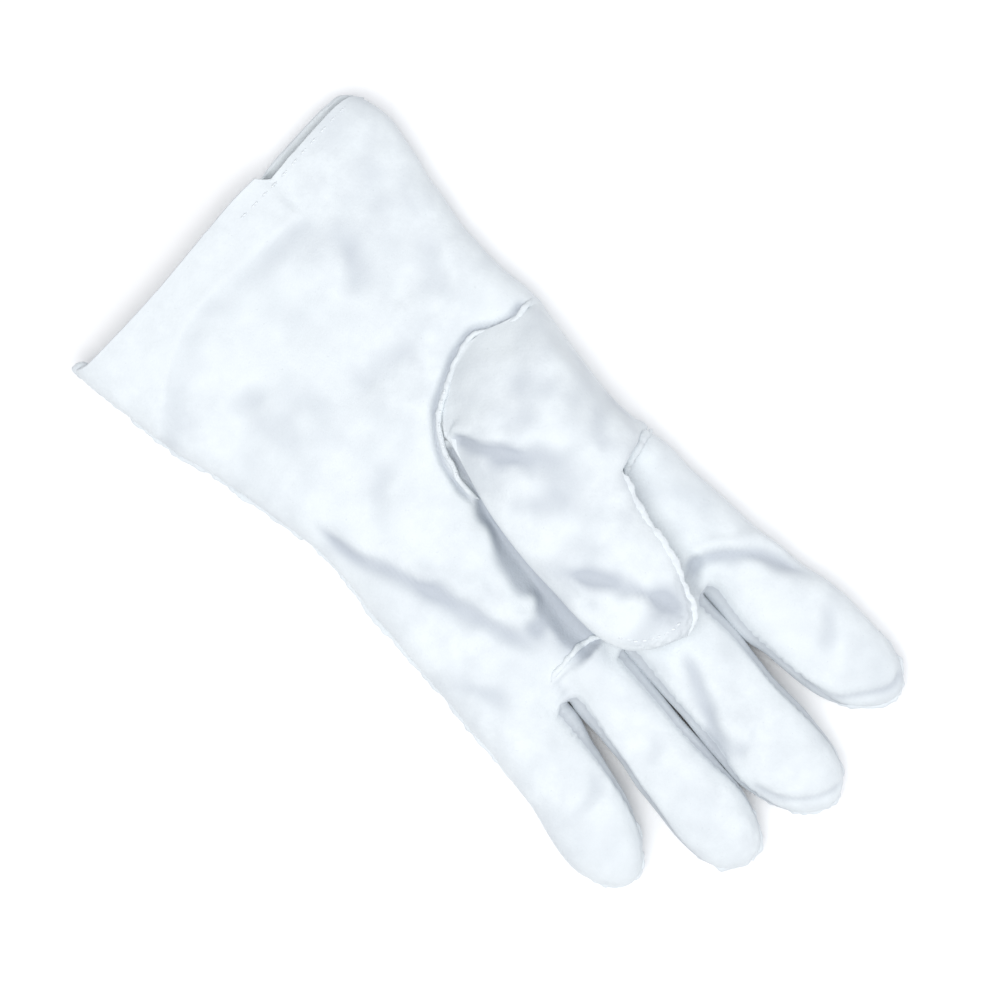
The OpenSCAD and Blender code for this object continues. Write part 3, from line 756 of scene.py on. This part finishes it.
def mesh_object(name, points, faces, material, loop_normals=None):
    mesh = bpy.data.meshes.new(name)
    mesh.from_pydata(fit(points).tolist(), [], faces)
    mesh.materials.append(MATERIALS[material])
    mesh.polygons.foreach_set("use_smooth", [True] * len(mesh.polygons))
    mesh.update()
    if loop_normals is not None:
        mesh.normals_split_custom_set(loop_normals.tolist())
    obj = bpy.data.objects.new(name, mesh)
    bpy.context.scene.collection.objects.link(obj)
    return obj


def rim_of(faces):
    """Edges with a face on one side only."""
    sides = dict.fromkeys((a, b) for f in faces for a, b in zip(f, f[1:] + f[:1]))
    return [(a, b) for (a, b) in sides if (b, a) not in sides]


def rim_push(outer, nor, rim):
    """At each point of the rim, the way that leads out of the sheet."""
    push = np.zeros(outer.shape)
    for a, b in rim:
        out = np.cross(outer[b] - outer[a], nor[a] + nor[b])
        size = np.linalg.norm(out)
        if size > 1e-9:
            push[a] += out / size
            push[b] += out / size
    size = np.linalg.norm(push, axis=1)
    size[size < 1e-9] = 1
    return push / size[:, None]


def thick_leather(name, points, normals, faces, material, skin, hollow=None):
    """A sheet with its own thickness: outer skin, inner skin and a rounded edge all round."""
    used = sorted({v for f in faces for v in f})
    new = {v: n for n, v in enumerate(used)}
    outer, nor = points[used], normals[used]
    inner = outer - nor * skin
    count = len(used)
    top = [[new[v] for v in f] for f in faces]
    rim = rim_of(top)
    push = rim_push(outer, nor, rim)
    on_rim = sorted({v for e in rim for v in e})
    middle = {v: 2 * count + n for n, v in enumerate(on_rim)}
    bulge = (outer[on_rim] + inner[on_rim]) / 2 + push[on_rim] * skin * 0.3
    all_faces = list(top)
    loops = [nor[v] for f in top for v in f]
    for f in top:
        all_faces.append([v + count for v in f[::-1]])
        loops += [-nor[v] for v in f[::-1]]
    for a, b in rim:
        all_faces.append([b, a, middle[a], middle[b]])
        all_faces.append([middle[b], middle[a], a + count, b + count])
        loops += [nor[b] + push[b], nor[a] + push[a], push[a], push[b]]
        loops += [push[b], push[a], push[a] - nor[a], push[b] - nor[b]]
    verts = np.vstack([outer, inner, bulge])
    obj = mesh_object(name, verts, all_faces, material, np.array(loops))
    # The painted shade and tone of the outer skin goes to a point attribute for the colour.
    depth = np.zeros(len(verts))
    if hollow is not None:
        depth[:count] = hollow[used]
    layer = obj.data.attributes.new("hollow", "FLOAT", "POINT")
    layer.data.foreach_set("value", depth.astype(np.float32))
    return obj


def build_hand():
    """The whole hand and cuff as one master skin, sculpted."""
    front, back = hand_sheet(1), hand_sheet(-1)
    shell = Shell()
    front_ids = shell.add_points(front)
    back_ids = shell.add_points(back)
    back_ids[:, 0] = front_ids[:, 0]
    back_ids[:, -1] = front_ids[:, -1]
    shell.points[front_ids[:, 0], 2] = MID_Z
    shell.points[front_ids[:, -1], 2] = MID_Z

    def gap(j, i):
        return j >= CROTCH_ROW and i % COLS == COLS - 1

    shell.add_grid(front_ids, front_name, skip=gap)
    shell.add_grid(back_ids, back_name, flip=True, skip=gap)
    forks = [fork_grid(shell, k, front, back, front_ids, back_ids) for k in range(3)]
    for k in range(4):
        close_tip(shell, k, front_ids, back_ids, forks)
    mouth = list(front_ids[0]) + list(back_ids[0])
    shell.smooth(0.5, 6, mouth)
    shell.points = sculpt_hand(shell)
    shell.smooth(0.4, 2, mouth)
    shell.points, border = seam_grooves(shell)
    # Painted shade along the seam grooves.
    shell.hollow[border] = np.maximum(shell.hollow[border], 0.6)
    shell.points[:, 2] = np.maximum(shell.points[:, 2], 0.05)
    return shell, front_ids, back_ids


def cut_out_thumb_hole(shell):
    """Drops the palm's leather that lies inside the thumb's opening."""
    kept_faces, kept_names = [], []
    for f, name in zip(shell.faces, shell.names):
        if name == "palm_panel":
            c = shell.points[f].mean(0)
            if c[2] > MID_Z and -60 < c[1] < 30 and c[0] < 5 and in_hole(c[0], c[1]):
                continue
        kept_faces.append(f)
        kept_names.append(name)
    shell.faces, shell.names = kept_faces, kept_names


# ---------- the thumb and its wing ----------
THUMB_COLS = 48
WING_ROWS = 34
THUMB_ROWS = 84
LOW_ROWS = 6  # rows of inner leather that lie on the palm behind the fold
LOW_LIFT = 0.6
BEND = 14.0  # length of thumb leather that bends when the thumb is opened


def thumb_point(q, angle, face):
    """Point on the thumb: q along it, angle from the index side over that face to the palm side."""
    l, r = track(INDEX_EDGE, q), track(PALM_EDGE, q)
    m, half = (l + r) / 2, np.linalg.norm(r - l) / 2
    way = (r - l) / np.linalg.norm(r - l)
    f = np.clip((q - 0.72) / 0.28, 0, 1)
    h = max(THUMB_HALF * (1 - f ** 2.6) ** 0.36, 1.0)
    c, n = np.cos(np.radians(angle)), np.abs(np.sin(np.radians(angle)))
    xy = m - way * (half * np.sign(c) * np.abs(c) ** ROUNDNESS)[:, None]
    z = THUMB_Z + face * h * n ** 0.8
    root = 1 - ease(q / 0.22)
    low = HAND_Z + 1.0
    z = np.where(c < 0, mix(z, np.minimum(z, mix(z, low, (-c) ** 3)), root), z)
    return np.concatenate([xy, z[:, None]], 1)


THUMB_FOLDS = [
    ([(-6.8, -35.6), (-17, -17), (-27, -3), (-38, 8)], 3.0, (1.4, 8.5), 0.5, (1.0, 34)),
    ([(-8, -35), (-26, -22), (-42, -15)], 1.2, (1.2, 6.0), 0.4, (1.5, 24)),
    ([(-24.4, 76), (-19.4, 61), (-6, 38), (1, 28)], 2.2, (4.4, 2.6), 0.5, (12, 14)),
    ([(-47, -40), (-38, -28), (-34, -14)], 0.9, 4.5, 0.3, (10, 12)),
    ([(-3, -4), (-14, 8), (-26, 14)], 1.0, 4.0, 0.4, (6, 12)),
    ([(4, 44), (-8, 52), (-12, 62)], 0.8, 3.0, 0.3, (6, 8)),
    ([(-57, -6), (-48, 4), (-44, 14)], 0.8, 3.5, 0.3, (8, 8)),
]


def close_fold_side(shell, wing, low):
    """Closes the fold's end towards the index finger, between the wing and the inner leather."""
    last = len(wing) - 1
    for n in range(last):
        a, b = (round(m * (len(low) - 1) / last) for m in (n, n + 1))
        face = list(dict.fromkeys([wing[n], wing[n + 1], low[b], low[a]]))
        if len(face) > 2:
            shell.faces.append(face)
            shell.names.append("thumb_inner_leather")


def wing_rows(fold):
    """Rows of the wing, from its outer edge to the fold: steep at the seam, fuller at the side."""
    share = np.linspace(0, 1, THUMB_COLS)
    edge = np.column_stack([track(WING, share), curve(WING_Z, share)])
    side = ease((share - 0.44) / 0.1) * ease((0.97 - share) / 0.06)
    rows = []
    for j in range(WING_ROWS):
        v = (j / WING_ROWS) ** 1.25
        at_seam = (1 - (1 - v) ** 2.0) ** 0.85
        at_side = (1 - (1 - v) ** 2.6) ** 0.6
        xy = mix(edge[:, :2], fold[:, :2], v)
        z = mix(edge[:, 2], fold[:, 2], mix(at_seam, at_side, side))
        rows.append(np.column_stack([xy, z]))
    return rows


def low_rows(first):
    """Rows of inner leather that lie on the palm, a millimetre apart, behind its first row."""
    rows = []
    for j in range(LOW_ROWS):
        line = first.copy()
        line[:, :2] -= FOLD_ACROSS * (LOW_ROWS - j)
        line[:, 2] = HAND_Z + LOW_LIFT
        rows.append(line)
    return rows


def sculpt_thumb(shell, seam):
    """Undulation, folds and puckers at the tip; the wing's outer edge hardly moves."""
    p, n = shell.points, shell.normals()
    up = facing(n, 1)
    folds = fold_heights(p, up, THUMB_FOLDS) * ease((p[:, 2] - HAND_Z - 0.5) / 4)
    # Painted shade in the thumb's folds and on its darker patches.
    shell.hollow = hollow_of(folds) + 1.05 * darkening(p, THUMB_PATCHES)
    d = undulation(p, THUMB_BUMPS) * (0.25 + 0.75 * up)
    d += folds
    end = ease((p[:, 1] - 66 - 0.25 * p[:, 0]) / 8)
    d += up * end * 0.22 * waves(p, 3.2, 27)
    free = np.ones(len(p))
    free[seam] = 0.2
    shell.points = p + n * (d * free)[:, None]


def build_thumb():
    """Outer leather with its wing, and inner leather, as one skin."""
    angle = np.linspace(180, 0, THUMB_COLS)
    shares = [math.sin(j / THUMB_ROWS * math.pi / 2) for j in range(THUMB_ROWS + 1)]
    tube = [thumb_point(q, angle, 1) for q in shares]
    under = [thumb_point(q, angle, -1) for q in shares]
    shell = Shell()
    top_ids = shell.add_points(np.array(wing_rows(tube[0]) + tube))
    under_ids = shell.add_points(np.array(low_rows(under[0]) + under))
    for side in (0, -1):
        under_ids[LOW_ROWS:, side] = top_ids[WING_ROWS:, side]
    shell.add_grid(top_ids, lambda j, i: "thumb_wing" if j < WING_ROWS else "thumb_outer_leather",
                   flip=True)
    shell.add_grid(under_ids, "thumb_inner_leather")
    close_fold_side(shell, top_ids[:WING_ROWS + 1, -1], under_ids[:LOW_ROWS + 1, -1])
    ring = list(top_ids[-1]) + list(under_ids[-1][::-1])
    shell.add_fan(ring, 1.2, THUMB_Z, "thumb_outer_leather", "thumb_inner_leather", flip=True)
    held = list(top_ids[0]) + list(under_ids[0])
    shell.smooth(0.5, 8, held)
    sculpt_thumb(shell, list(top_ids[0]))
    shell.smooth(0.4, 2, held)
    return shell, top_ids


# ---------- welts, seam lips and stitches ----------
def resample(path, step):
    """Smooth line through a few points, in even steps."""
    path = np.array(path, float)
    u = np.linspace(0, 1, len(path))
    t = np.linspace(0, 1, 40 * len(path))
    line = np.stack([curve(list(zip(u, path[:, m])), t) for m in range(path.shape[1])], -1)
    size = np.concatenate([[0], np.cumsum(np.linalg.norm(np.diff(line, axis=0), axis=1))])
    n = max(4, int(round(size[-1] / step)))
    at = np.linspace(0, size[-1], n + 1)
    return np.stack([np.interp(at, size, line[:, m]) for m in range(path.shape[1])], -1), at


STRAND_SIDES = 12


def tube_faces(first, rings, sides):
    """Faces of a closed tube whose rings of points follow one another from the first."""
    faces = []
    for j in range(rings - 1):
        for s in range(sides):
            a, b = first + j * sides + s, first + j * sides + (s + 1) % sides
            faces.append([a, b, b + sides, a + sides])
    faces.append([first + s for s in range(sides)][::-1])
    faces.append([first + (rings - 1) * sides + s for s in range(sides)])
    return faces


def strand(name, path, wide, high, seed, pitch=3.3, dent=0.3, rough=0.16, taper=2.0, swell=0.0):
    """A rolled strand of leather along a path: uneven, and drawn in at each stitch."""
    line, at = resample(path, 0.7)
    way = np.gradient(line, axis=0)
    way /= np.linalg.norm(way, axis=1)[:, None]
    across = np.cross(way, [0, 0, 1.0])
    across /= np.linalg.norm(across, axis=1)[:, None]
    above = np.cross(across, way)
    taper = np.sqrt(np.clip(np.minimum(at, at[-1] - at) / taper, 0.02, 1))
    pinch = 1 - dent * np.clip(np.sin(2 * math.pi * at / pitch + waves(line, 12, seed)), 0, 1) ** 3
    taper = taper * (1 + swell * np.exp(-(at / 5.5) ** 2))
    wander = waves(line, 9, seed + 1) * 0.2
    rings = []
    for s in range(STRAND_SIDES):
        a = 2 * math.pi * (s + 0.5) / STRAND_SIDES
        ring = (line + across * (wide * math.cos(a) * taper * pinch ** 0.5 + wander)[:, None]
                + above * (high * math.sin(a) * taper * pinch)[:, None])
        rings.append(ring)
    points = np.stack(rings, 1)
    out = points - line[:, None]
    out /= np.maximum(np.linalg.norm(out, axis=2), 1e-9)[..., None]
    points += out * (rough * waves(points, 4.2, seed + 2))[..., None]
    faces = tube_faces(0, len(line), STRAND_SIDES)
    return mesh_object(name, points.reshape(-1, 3), faces, "welt_leather")


def stitch_row(name, path, length, pitch, thick, seed):
    """Short stitches along a path, each a small rounded length of thread."""
    line, at = resample(path, 0.5)
    rng = np.random.default_rng(seed)
    verts, faces = [], []
    rings, sides = 7, 8
    for c in np.arange(pitch / 2, at[-1] - pitch / 4, pitch):
        c = c + rng.uniform(-0.25, 0.25)
        a = np.array([np.interp(c - length / 2, at, line[:, m]) for m in range(3)])
        b = np.array([np.interp(c + length / 2, at, line[:, m]) for m in range(3)])
        way = (b - a) / max(np.linalg.norm(b - a), 1e-6)
        across = np.cross(way, [0, 0, 1.0])
        across /= np.linalg.norm(across)
        above = np.cross(across, way)
        first = len(verts)
        for j in range(rings):
            t = j / (rings - 1)
            r = thick * math.sqrt(max(1 - (2 * t - 1) ** 4, 0.03))
            sink = -0.35 * thick * (2 * t - 1) ** 2
            for s in range(sides):
                g = 2 * math.pi * s / sides
                verts.append(mix(a, b, t) + across * r * 1.15 * math.cos(g)
                             + above * (r * 0.8 * math.sin(g) + sink))
        faces += tube_faces(first, rings, sides)
    return mesh_object(name, np.array(verts), faces, "thread")


# ---------- materials ----------
def feed(tree, node, inputs):
    """Sets a node's inputs: a socket is linked, and anything else is the value itself."""
    for key, value in inputs.items():
        if isinstance(value, bpy.types.NodeSocket):
            tree.links.new(value, node.inputs[key])
        else:
            node.inputs[key].default_value = value


def add_node(tree, kind, inputs=None, **settings):
    node = tree.nodes.new(kind)
    for key, value in settings.items():
        setattr(node, key, value)
    feed(tree, node, inputs or {})
    return node


def new_material(name):
    """A new material: its node tree, its shader and the object's own coordinates."""
    mat = bpy.data.materials.new(name)
    mat.use_nodes = True
    MATERIALS[name] = mat
    tree = mat.node_tree
    return tree, tree.nodes["Principled BSDF"], add_node(tree, "ShaderNodeTexCoord").outputs["Object"]


def noise(tree, coords, scale, detail=4.0, rough=0.55):
    inputs = {"Scale": scale, "Detail": detail, "Roughness": rough, "Vector": coords}
    return add_node(tree, "ShaderNodeTexNoise", inputs).outputs[0]


def ramp(tree, value, low, high):
    """Stretches low to high over 0 to 1."""
    inputs = {"From Min": low, "From Max": high, "Value": value}
    return add_node(tree, "ShaderNodeMapRange", inputs).outputs["Result"]


def mix_colour(tree, factor, a, b):
    node = add_node(tree, "ShaderNodeMix", data_type="RGBA", clamp_factor=True)
    first, second = [n for n, s in enumerate(node.inputs) if s.type == "RGBA"]
    feed(tree, node, {0: factor, first: a, second: b})
    return [s for s in node.outputs if s.type == "RGBA"][0]


def add_heights(tree, parts):
    """Sum of height fields, each with its own weight."""
    total = 0.0
    for value, weight in parts:
        inputs = {0: value, 1: weight, 2: total}
        total = add_node(tree, "ShaderNodeMath", inputs, operation="MULTIPLY_ADD").outputs[0]
    return total


def add_bump(tree, shader, height, strength, distance):
    inputs = {"Strength": strength, "Distance": distance, "Height": height}
    bump = add_node(tree, "ShaderNodeBump", inputs)
    feed(tree, shader, {"Normal": bump.outputs["Normal"]})


def scaled(colour, factors):
    """A colour with each of its parts multiplied, at most 1."""
    return tuple(min(1.0, c * f) for c, f in zip(colour, factors)) + (1.0,)


PALER = (1.035, 1.035, 1.035)
SPECK = (0.93, 0.93, 0.93)
# What is left of each colour in the deepest painted shade.
DEEPEST_SHADE = (0.70, 0.715, 0.755)


def leather_colour(tree, coords, mottle, light, shade):
    """Cloudy and mottled, with fine specks, and with painted shade in the hollows and on the darker
    patches.
    """
    cloud = ramp(tree, noise(tree, coords, 26, 3), 0.34, 0.68)
    speck = ramp(tree, noise(tree, coords, 900, 2, 0.5), 0.68, 0.82)
    hollow = add_node(tree, "ShaderNodeAttribute", attribute_name="hollow").outputs["Fac"]
    colour = mix_colour(tree, cloud, shade, light)
    colour = mix_colour(tree, mottle, colour, scaled(light, PALER))
    colour = mix_colour(tree, speck, colour, scaled(shade, SPECK))
    return mix_colour(tree, ramp(tree, hollow, 0.0, 1.5), colour, scaled(shade, DEEPEST_SHADE))


def leather_material(name, light, shade, roughness, grain, nap):
    """Soft white leather: mottled, with a fine grain of small cells and a slight nap."""
    tree, shader, coords = new_material(name)
    mottle = ramp(tree, noise(tree, coords, 120, 5, 0.62), 0.38, 0.66)
    cell_inputs = {"Scale": 1150, "Vector": coords}
    cells = add_node(tree, "ShaderNodeTexVoronoi", cell_inputs, feature="SMOOTH_F1")
    fine = noise(tree, coords, 2600, 2)
    wrinkle = noise(tree, coords, 420, 4, 0.6)
    height = add_heights(tree, [(cells.outputs["Distance"], grain), (fine, 0.35), (wrinkle, 0.9)])
    add_bump(tree, shader, height, nap, 0.0003)
    limits = {"To Min": roughness - 0.07, "To Max": roughness + 0.07, "Value": mottle}
    feed(tree, shader, {
        "Base Color": leather_colour(tree, coords, mottle, light, shade),
        "Roughness": add_node(tree, "ShaderNodeMapRange", limits).outputs["Result"],
        "Sheen Weight": 0.12,
        "Sheen Roughness": 0.45,
        "Specular IOR Level": 0.28,
    })


def thread_material():
    """White sewing thread, with light and dark bands that slant across it: the dark bands are painted
    shade in the grooves of its twist.
    """
    tree, shader, coords = new_material("thread")
    inputs = {"Scale": 380, "Distortion": 1.5, "Vector": coords}
    twist = add_node(tree, "ShaderNodeTexWave", inputs, wave_type="BANDS",
                     bands_direction="DIAGONAL").outputs["Fac"]
    colour = mix_colour(tree, twist, (0.68, 0.72, 0.75, 1), (0.84, 0.88, 0.90, 1))
    add_bump(tree, shader, twist, 0.5, 0.0002)
    feed(tree, shader, {"Base Color": colour, "Roughness": 0.55, "Sheen Weight": 0.2})


LEATHERS = [
    # name, light colour, shaded colour, roughness, grain, nap
    ("front_leather", (0.745, 0.79, 0.81, 1), (0.70, 0.742, 0.768, 1), 0.62, 0.7, 0.45),
    ("back_leather", (0.735, 0.78, 0.80, 1), (0.685, 0.728, 0.755, 1), 0.60, 0.8, 0.45),
    # The fourchettes' colours are darker than the front's: painted shade between the fingers.
    ("fourchette_leather", (0.63, 0.67, 0.70, 1), (0.55, 0.585, 0.62, 1), 0.66, 0.6, 0.4),
    ("welt_leather", (0.735, 0.78, 0.80, 1), (0.67, 0.71, 0.74, 1), 0.62, 0.9, 0.42),
    ("hem_leather", (0.745, 0.79, 0.81, 1), (0.70, 0.742, 0.768, 1), 0.66, 0.5, 0.4),
]
for leather in LEATHERS:
    leather_material(*leather)
thread_material()

# ---------- build ----------
def settle(obj, slot, nodes, body=None, bend=None):
    """Hides the CAD nodes a piece stands for, and hangs a piece without a bend on its body; a bending
    piece only has its place baked into its mesh.
    """
    if bend:
        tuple(bend[2])
        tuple(bend[3])
        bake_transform(obj)
    else:
        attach(obj, body)
    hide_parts(*nodes)


WRIST_REACH = 16.0  # the leather bends this far on each side of the wrist
WRIST_BEND = ("hand", "cuff", place(0, WRIST_Y + WRIST_REACH, HAND_Z),
              place(0, WRIST_Y - WRIST_REACH, HAND_Z))
FOLD_MID = (FOLD_A + FOLD_B) / 2
THUMB_BEND = ("hand", "thumb", place(*FOLD_MID, 33), place(*(FOLD_MID + FOLD_ACROSS * BEND), 33))


def knuckle_bend(f):
    return ("hand", f["name"] + "_middle", place(0, f["knuckle"] - 11, HAND_Z),
            place(0, f["mid_y"] - 1.0, HAND_Z))


def end_bend(f):
    return (f["name"] + "_middle", f["name"] + "_tip", place(0, f["mid_y"] + 1.5, HAND_Z),
            place(0, f["end"] + 10, HAND_Z))


def plan_for(name):
    """Slot, CAD nodes and movement of one leather piece."""
    finger = next((f for f in FINGERS if name.startswith(f["name"] + "_")), None)
    if "fork" in name:
        return "fourchette_leather", [name], "hand", None
    if name in ("palm_panel", "middle_ring_front"):
        return "front_leather", [name], "hand", None
    if name == "back_panel":
        return "back_leather", [name], "hand", None
    if name.startswith("cuff"):
        slot = "front_leather" if name == "cuff_front" else "back_leather"
        return slot, [name], None, WRIST_BEND
    if name.startswith("thumb"):
        if name == "thumb_wing":
            return "front_leather", [name], "hand", None
        slot = "front_leather" if name == "thumb_outer_leather" else "back_leather"
        return slot, [name], None, THUMB_BEND
    if name.endswith("_tip"):
        return "fourchette_leather", [name[:-4]], None, end_bend(finger)
    if "fourchette" in name:
        return "fourchette_leather", [name], None, knuckle_bend(finger)
    slot = "front_leather" if name.endswith("front") else "back_leather"
    bend = end_bend(finger) if "_tip_" in name else knuckle_bend(finger)
    return slot, [name], None, bend


def cut_pieces(shell):
    """Splits a master skin into its named pieces, each with its own thickness."""
    nor = shell.normals()
    groups = {}
    for f, name in zip(shell.faces, shell.names):
        groups.setdefault(name, []).append([int(v) for v in f])
    for name, faces in groups.items():
        slot, nodes, body, bend = plan_for(name)
        skin = THIN_SKIN if "_tip" in name or "fourchette" in name or "fork" in name else SKIN
        label = name if name.endswith("leather") else name + "_leather"
        obj = thick_leather(label, shell.points, nor, faces, slot, skin, shell.hollow)
        settle(obj, slot, nodes, body, bend)


hand, front_ids, back_ids = build_hand()
hand_points = hand.points.copy()
cut_out_thumb_hole(hand)
cut_pieces(hand)
thumb, thumb_top = build_thumb()
cut_pieces(thumb)


def seen_from_above(points):
    """Points with a tree that finds the nearest of them in the plane."""
    tree = KDTree(len(points))
    for n, p in enumerate(points):
        tree.insert((p[0], p[1], 0), n)
    tree.balance()
    return points, tree


HAND_TOP = seen_from_above(hand_points[front_ids.ravel()])
THUMB_TOP = seen_from_above(thumb.points[thumb_top.ravel()])


def lie(path, skin, lift):
    """Path with the height of the skin under it, plus a lift."""
    points, tree = skin
    out = []
    line, _ = resample(path, 2.0)
    for x, y in line:
        near = tree.find_n((x, y, 0), 4)
        z = np.mean([points[n][2] for _, n, _ in near])
        out.append((x, y, z + lift))
    return out


def roll(name, node, path, wide, high, seed, body=None, bend=None, **shape):
    """A welt or seam allowance along a path."""
    obj = strand(name, path, wide, high, seed, **shape)
    settle(obj, "welt_leather", [node], body, bend)


def sew(name, node, path, length, pitch, thick, seed, body=None, bend=None):
    """A row of stitches along a path."""
    obj = stitch_row(name, path, length, pitch, thick, seed)
    settle(obj, "thread", [node], body, bend)


WELT_PATH = [(-67.5, -51.5), (-55, -50.2), (-42.4, -56.6), (-34.4, -56.4), (-24.4, -52.6),
             (-14.4, -47.2), (-7, -41), (-1.6, -31.5), (1.6, -19.5), (1.2, -11)]
STITCH_PATH = [(-20, -50.6), (-14.4, -47.2), (-7, -41), (-1.6, -31.5), (1.6, -19.5)]
WEB_PATH = [(-64.8, 16.8), (-60, 16.6), (-54, 18), (-49, 19.8), (-44.5, 22)]
BASE_PATH = [(4.5, 60.5), (10, 57), (18, 56.2), (26, 56.6), (31.5, 58)]
MOUTH_STITCHES = [(-70, -154), (-50, -153.2), (-30, -152), (-8, -151.6)]
TIP_ARC = [(-20, 75.5), (-14.5, 75.2), (-8, 72.6), (-2.5, 68.5), (1, 63)]
MOUTH_CORNER = [73.2, -156.8, 17]


def seams():
    """Welts and stitches over the joins between the pieces."""
    roll("wing_welt_roll", "wing_welt", lie(WELT_PATH, HAND_TOP, 0.9), 1.15, 0.8, 41, "hand",
         dent=0.25, rough=0.12, taper=5)
    sew("wing_stitch_thread", "wing_stitches", lie(STITCH_PATH, HAND_TOP, 1.75), 2.6, 4.2, 0.34, 43,
        "hand")
    roll("web_seam_roll", "web_seam", lie(WEB_PATH, HAND_TOP, 1.3), 1.8, 1.3, 45, "hand",
         dent=0.4, rough=0.25, taper=4)
    roll("finger_base_welt_roll", "finger_base_welt", lie(BASE_PATH, HAND_TOP, 0.1), 1.2, 0.9, 47,
         "hand", dent=0.3, taper=5)
    sew("mouth_stitch_thread", "mouth_stitches", lie(MOUTH_STITCHES, HAND_TOP, 0.1), 3.4, 5.6, 0.36,
        49, "cuff")


def side_lips():
    """Seam allowance down the little finger's side: over the cuff, and over the hand."""
    line = hand_points[front_ids[:, -1]]
    cuff, palm = [line[(line[:, 1] > low) & (line[:, 1] < high)][::6] + [0.5, 0, 0]
                  for low, high in ((-153, -45), (-46, 80))]
    roll("cuff_side_seam_lip", "cuff_side_seam", np.vstack([MOUTH_CORNER, cuff]), 1.35, 0.8, 65,
         bend=WRIST_BEND, dent=0.2, rough=0.2, swell=2.5)
    roll("palm_side_seam_lip", "palm_side_seam", palm, 1.35, 0.8, 65, "hand",
         dent=0.25, rough=0.2, taper=12)


def tip_path(k, f):
    """Line round a fingertip, halfway between front and back and a little outside the leather."""
    ids = front_ids[:, k * COLS:(k + 1) * COLS]
    left, right = [side[(side[:, 1] > f["seam"]) & (np.arange(ROWS) > CROTCH_ROW)]
                   for side in (hand_points[ids[:, 0]], hand_points[ids[:, -1]])]
    loop = np.vstack([left[::3], hand_points[ids[-1]].mean(0)[None], right[::-3]])
    loop[:, 2] = MID_Z
    way = np.gradient(loop, axis=0)
    way[:, 2] = 0
    way /= np.maximum(np.linalg.norm(way, axis=1), 1e-9)[:, None]
    out = np.stack([-way[:, 1], way[:, 0], 0 * way[:, 0]], -1)
    return loop + out * 0.1


def tip_lips():
    """Seam allowance round each fingertip."""
    for k, f in enumerate(FINGERS):
        roll(f["name"] + "_tip_seam_lip", f["name"] + "_tip_seam", tip_path(k, f), 1.5, 1.3, 61 + k,
             bend=end_bend(f), pitch=3.8, dent=0.2, rough=0.2, taper=14)


def thumb_seams():
    """Welt down the thumb's index side, and the stitches over its tip."""
    line = thumb.points[thumb_top[WING_ROWS + 1:, -6]]
    roll("thumb_side_welt_roll", "thumb_side_welt", line[::5] + [-0.1, 0.1, -0.45], 1.9, 0.9, 71,
         bend=THUMB_BEND, dent=0.12, rough=0.2, taper=8)
    sew("thumb_tip_stitch_thread", "thumb_tip_stitches", lie(TIP_ARC, THUMB_TOP, 0.1), 2.0, 3.0, 0.4,
        73, bend=THUMB_BEND)


HEM_ROWS = 15
HEM_SKIN = 1.2
HEM_COLS = range(4, 4 * COLS - 4)


def hems():
    """The turned hem inside the cuff's mouth, under the front and over the back."""
    nor = hand.normals()
    for ids, node in ((front_ids, "cuff_hem_front"), (back_ids, "cuff_hem_back")):
        name = node + "_leather"
        sheet = np.array([[hand_points[ids[j, i]] - nor[ids[j, i]] * (SKIN + 0.25)
                           for i in HEM_COLS] for j in range(HEM_ROWS)])
        shell = Shell()
        shell.add_grid(shell.add_points(sheet), name, flip=ids is back_ids)
        faces = [[int(v) for v in f] for f in shell.faces]
        obj = thick_leather(name, shell.points, shell.normals(), faces, "hem_leather", HEM_SKIN)
        settle(obj, "hem_leather", [node], bend=WRIST_BEND)


seams()
side_lips()
tip_lips()
thumb_seams()
hems()


# ---------- floor and light ----------
FLOOR_HALF = 3.0


def make_floor():
    """A sheet of white paper under the glove."""
    tree, shader, coords = new_material("floor_paper")
    white = (0.97, 0.97, 0.97, 1), (0.985, 0.985, 0.985, 1)
    colour = mix_colour(tree, noise(tree, coords, 6), *white)
    feed(tree, shader, {"Base Color": colour, "Roughness": 0.9, "Specular IOR Level": 0.1})
    mesh = bpy.data.meshes.new("floor")
    corners = [(FLOOR_HALF * x, FLOOR_HALF * y, 0) for x, y in ((-1, -1), (1, -1), (1, 1), (-1, 1))]
    mesh.from_pydata(corners, [], [(0, 1, 2, 3)])
    mesh.materials.append(MATERIALS["floor_paper"])
    floor = bpy.data.objects.new("floor", mesh)
    bpy.context.scene.collection.objects.link(floor)


def area_light(name, place_at, size, power, colour):
    """A square soft box that faces the glove."""
    data = bpy.data.lights.new(name, "AREA")
    data.shape = "SQUARE"
    data.size = size
    data.energy = power
    data.color = colour
    light = bpy.data.objects.new(name, data)
    light.location = place_at
    aim = Vector((0, 0, AIM[2])) - Vector(place_at)
    light.rotation_euler = aim.to_track_quat("-Z", "Y").to_euler()
    bpy.context.scene.collection.objects.link(light)


def make_light():
    """A broad soft box overhead, a weaker one beyond thumb and fingertips, and a pale room."""
    area_light("key", (0.28, 0.04, 1.3), 0.85, 11.4, (1.0, 1.0, 1.0))
    area_light("fill", (-0.6, 0.6, 1.05), 0.9, 3.1, (0.96, 0.975, 1.0))
    world = bpy.data.worlds.new("studio")
    world.use_nodes = True
    back = world.node_tree.nodes["Background"]
    back.inputs["Color"].default_value = (0.94, 0.953, 1.0, 1)
    back.inputs["Strength"].default_value = 0.56
    bpy.context.scene.world = world


make_floor()
make_light()
view = bpy.context.scene.view_settings
view.view_transform = "Standard"
view.look = "None"
view.exposure = 0.0
view.gamma = 1.0
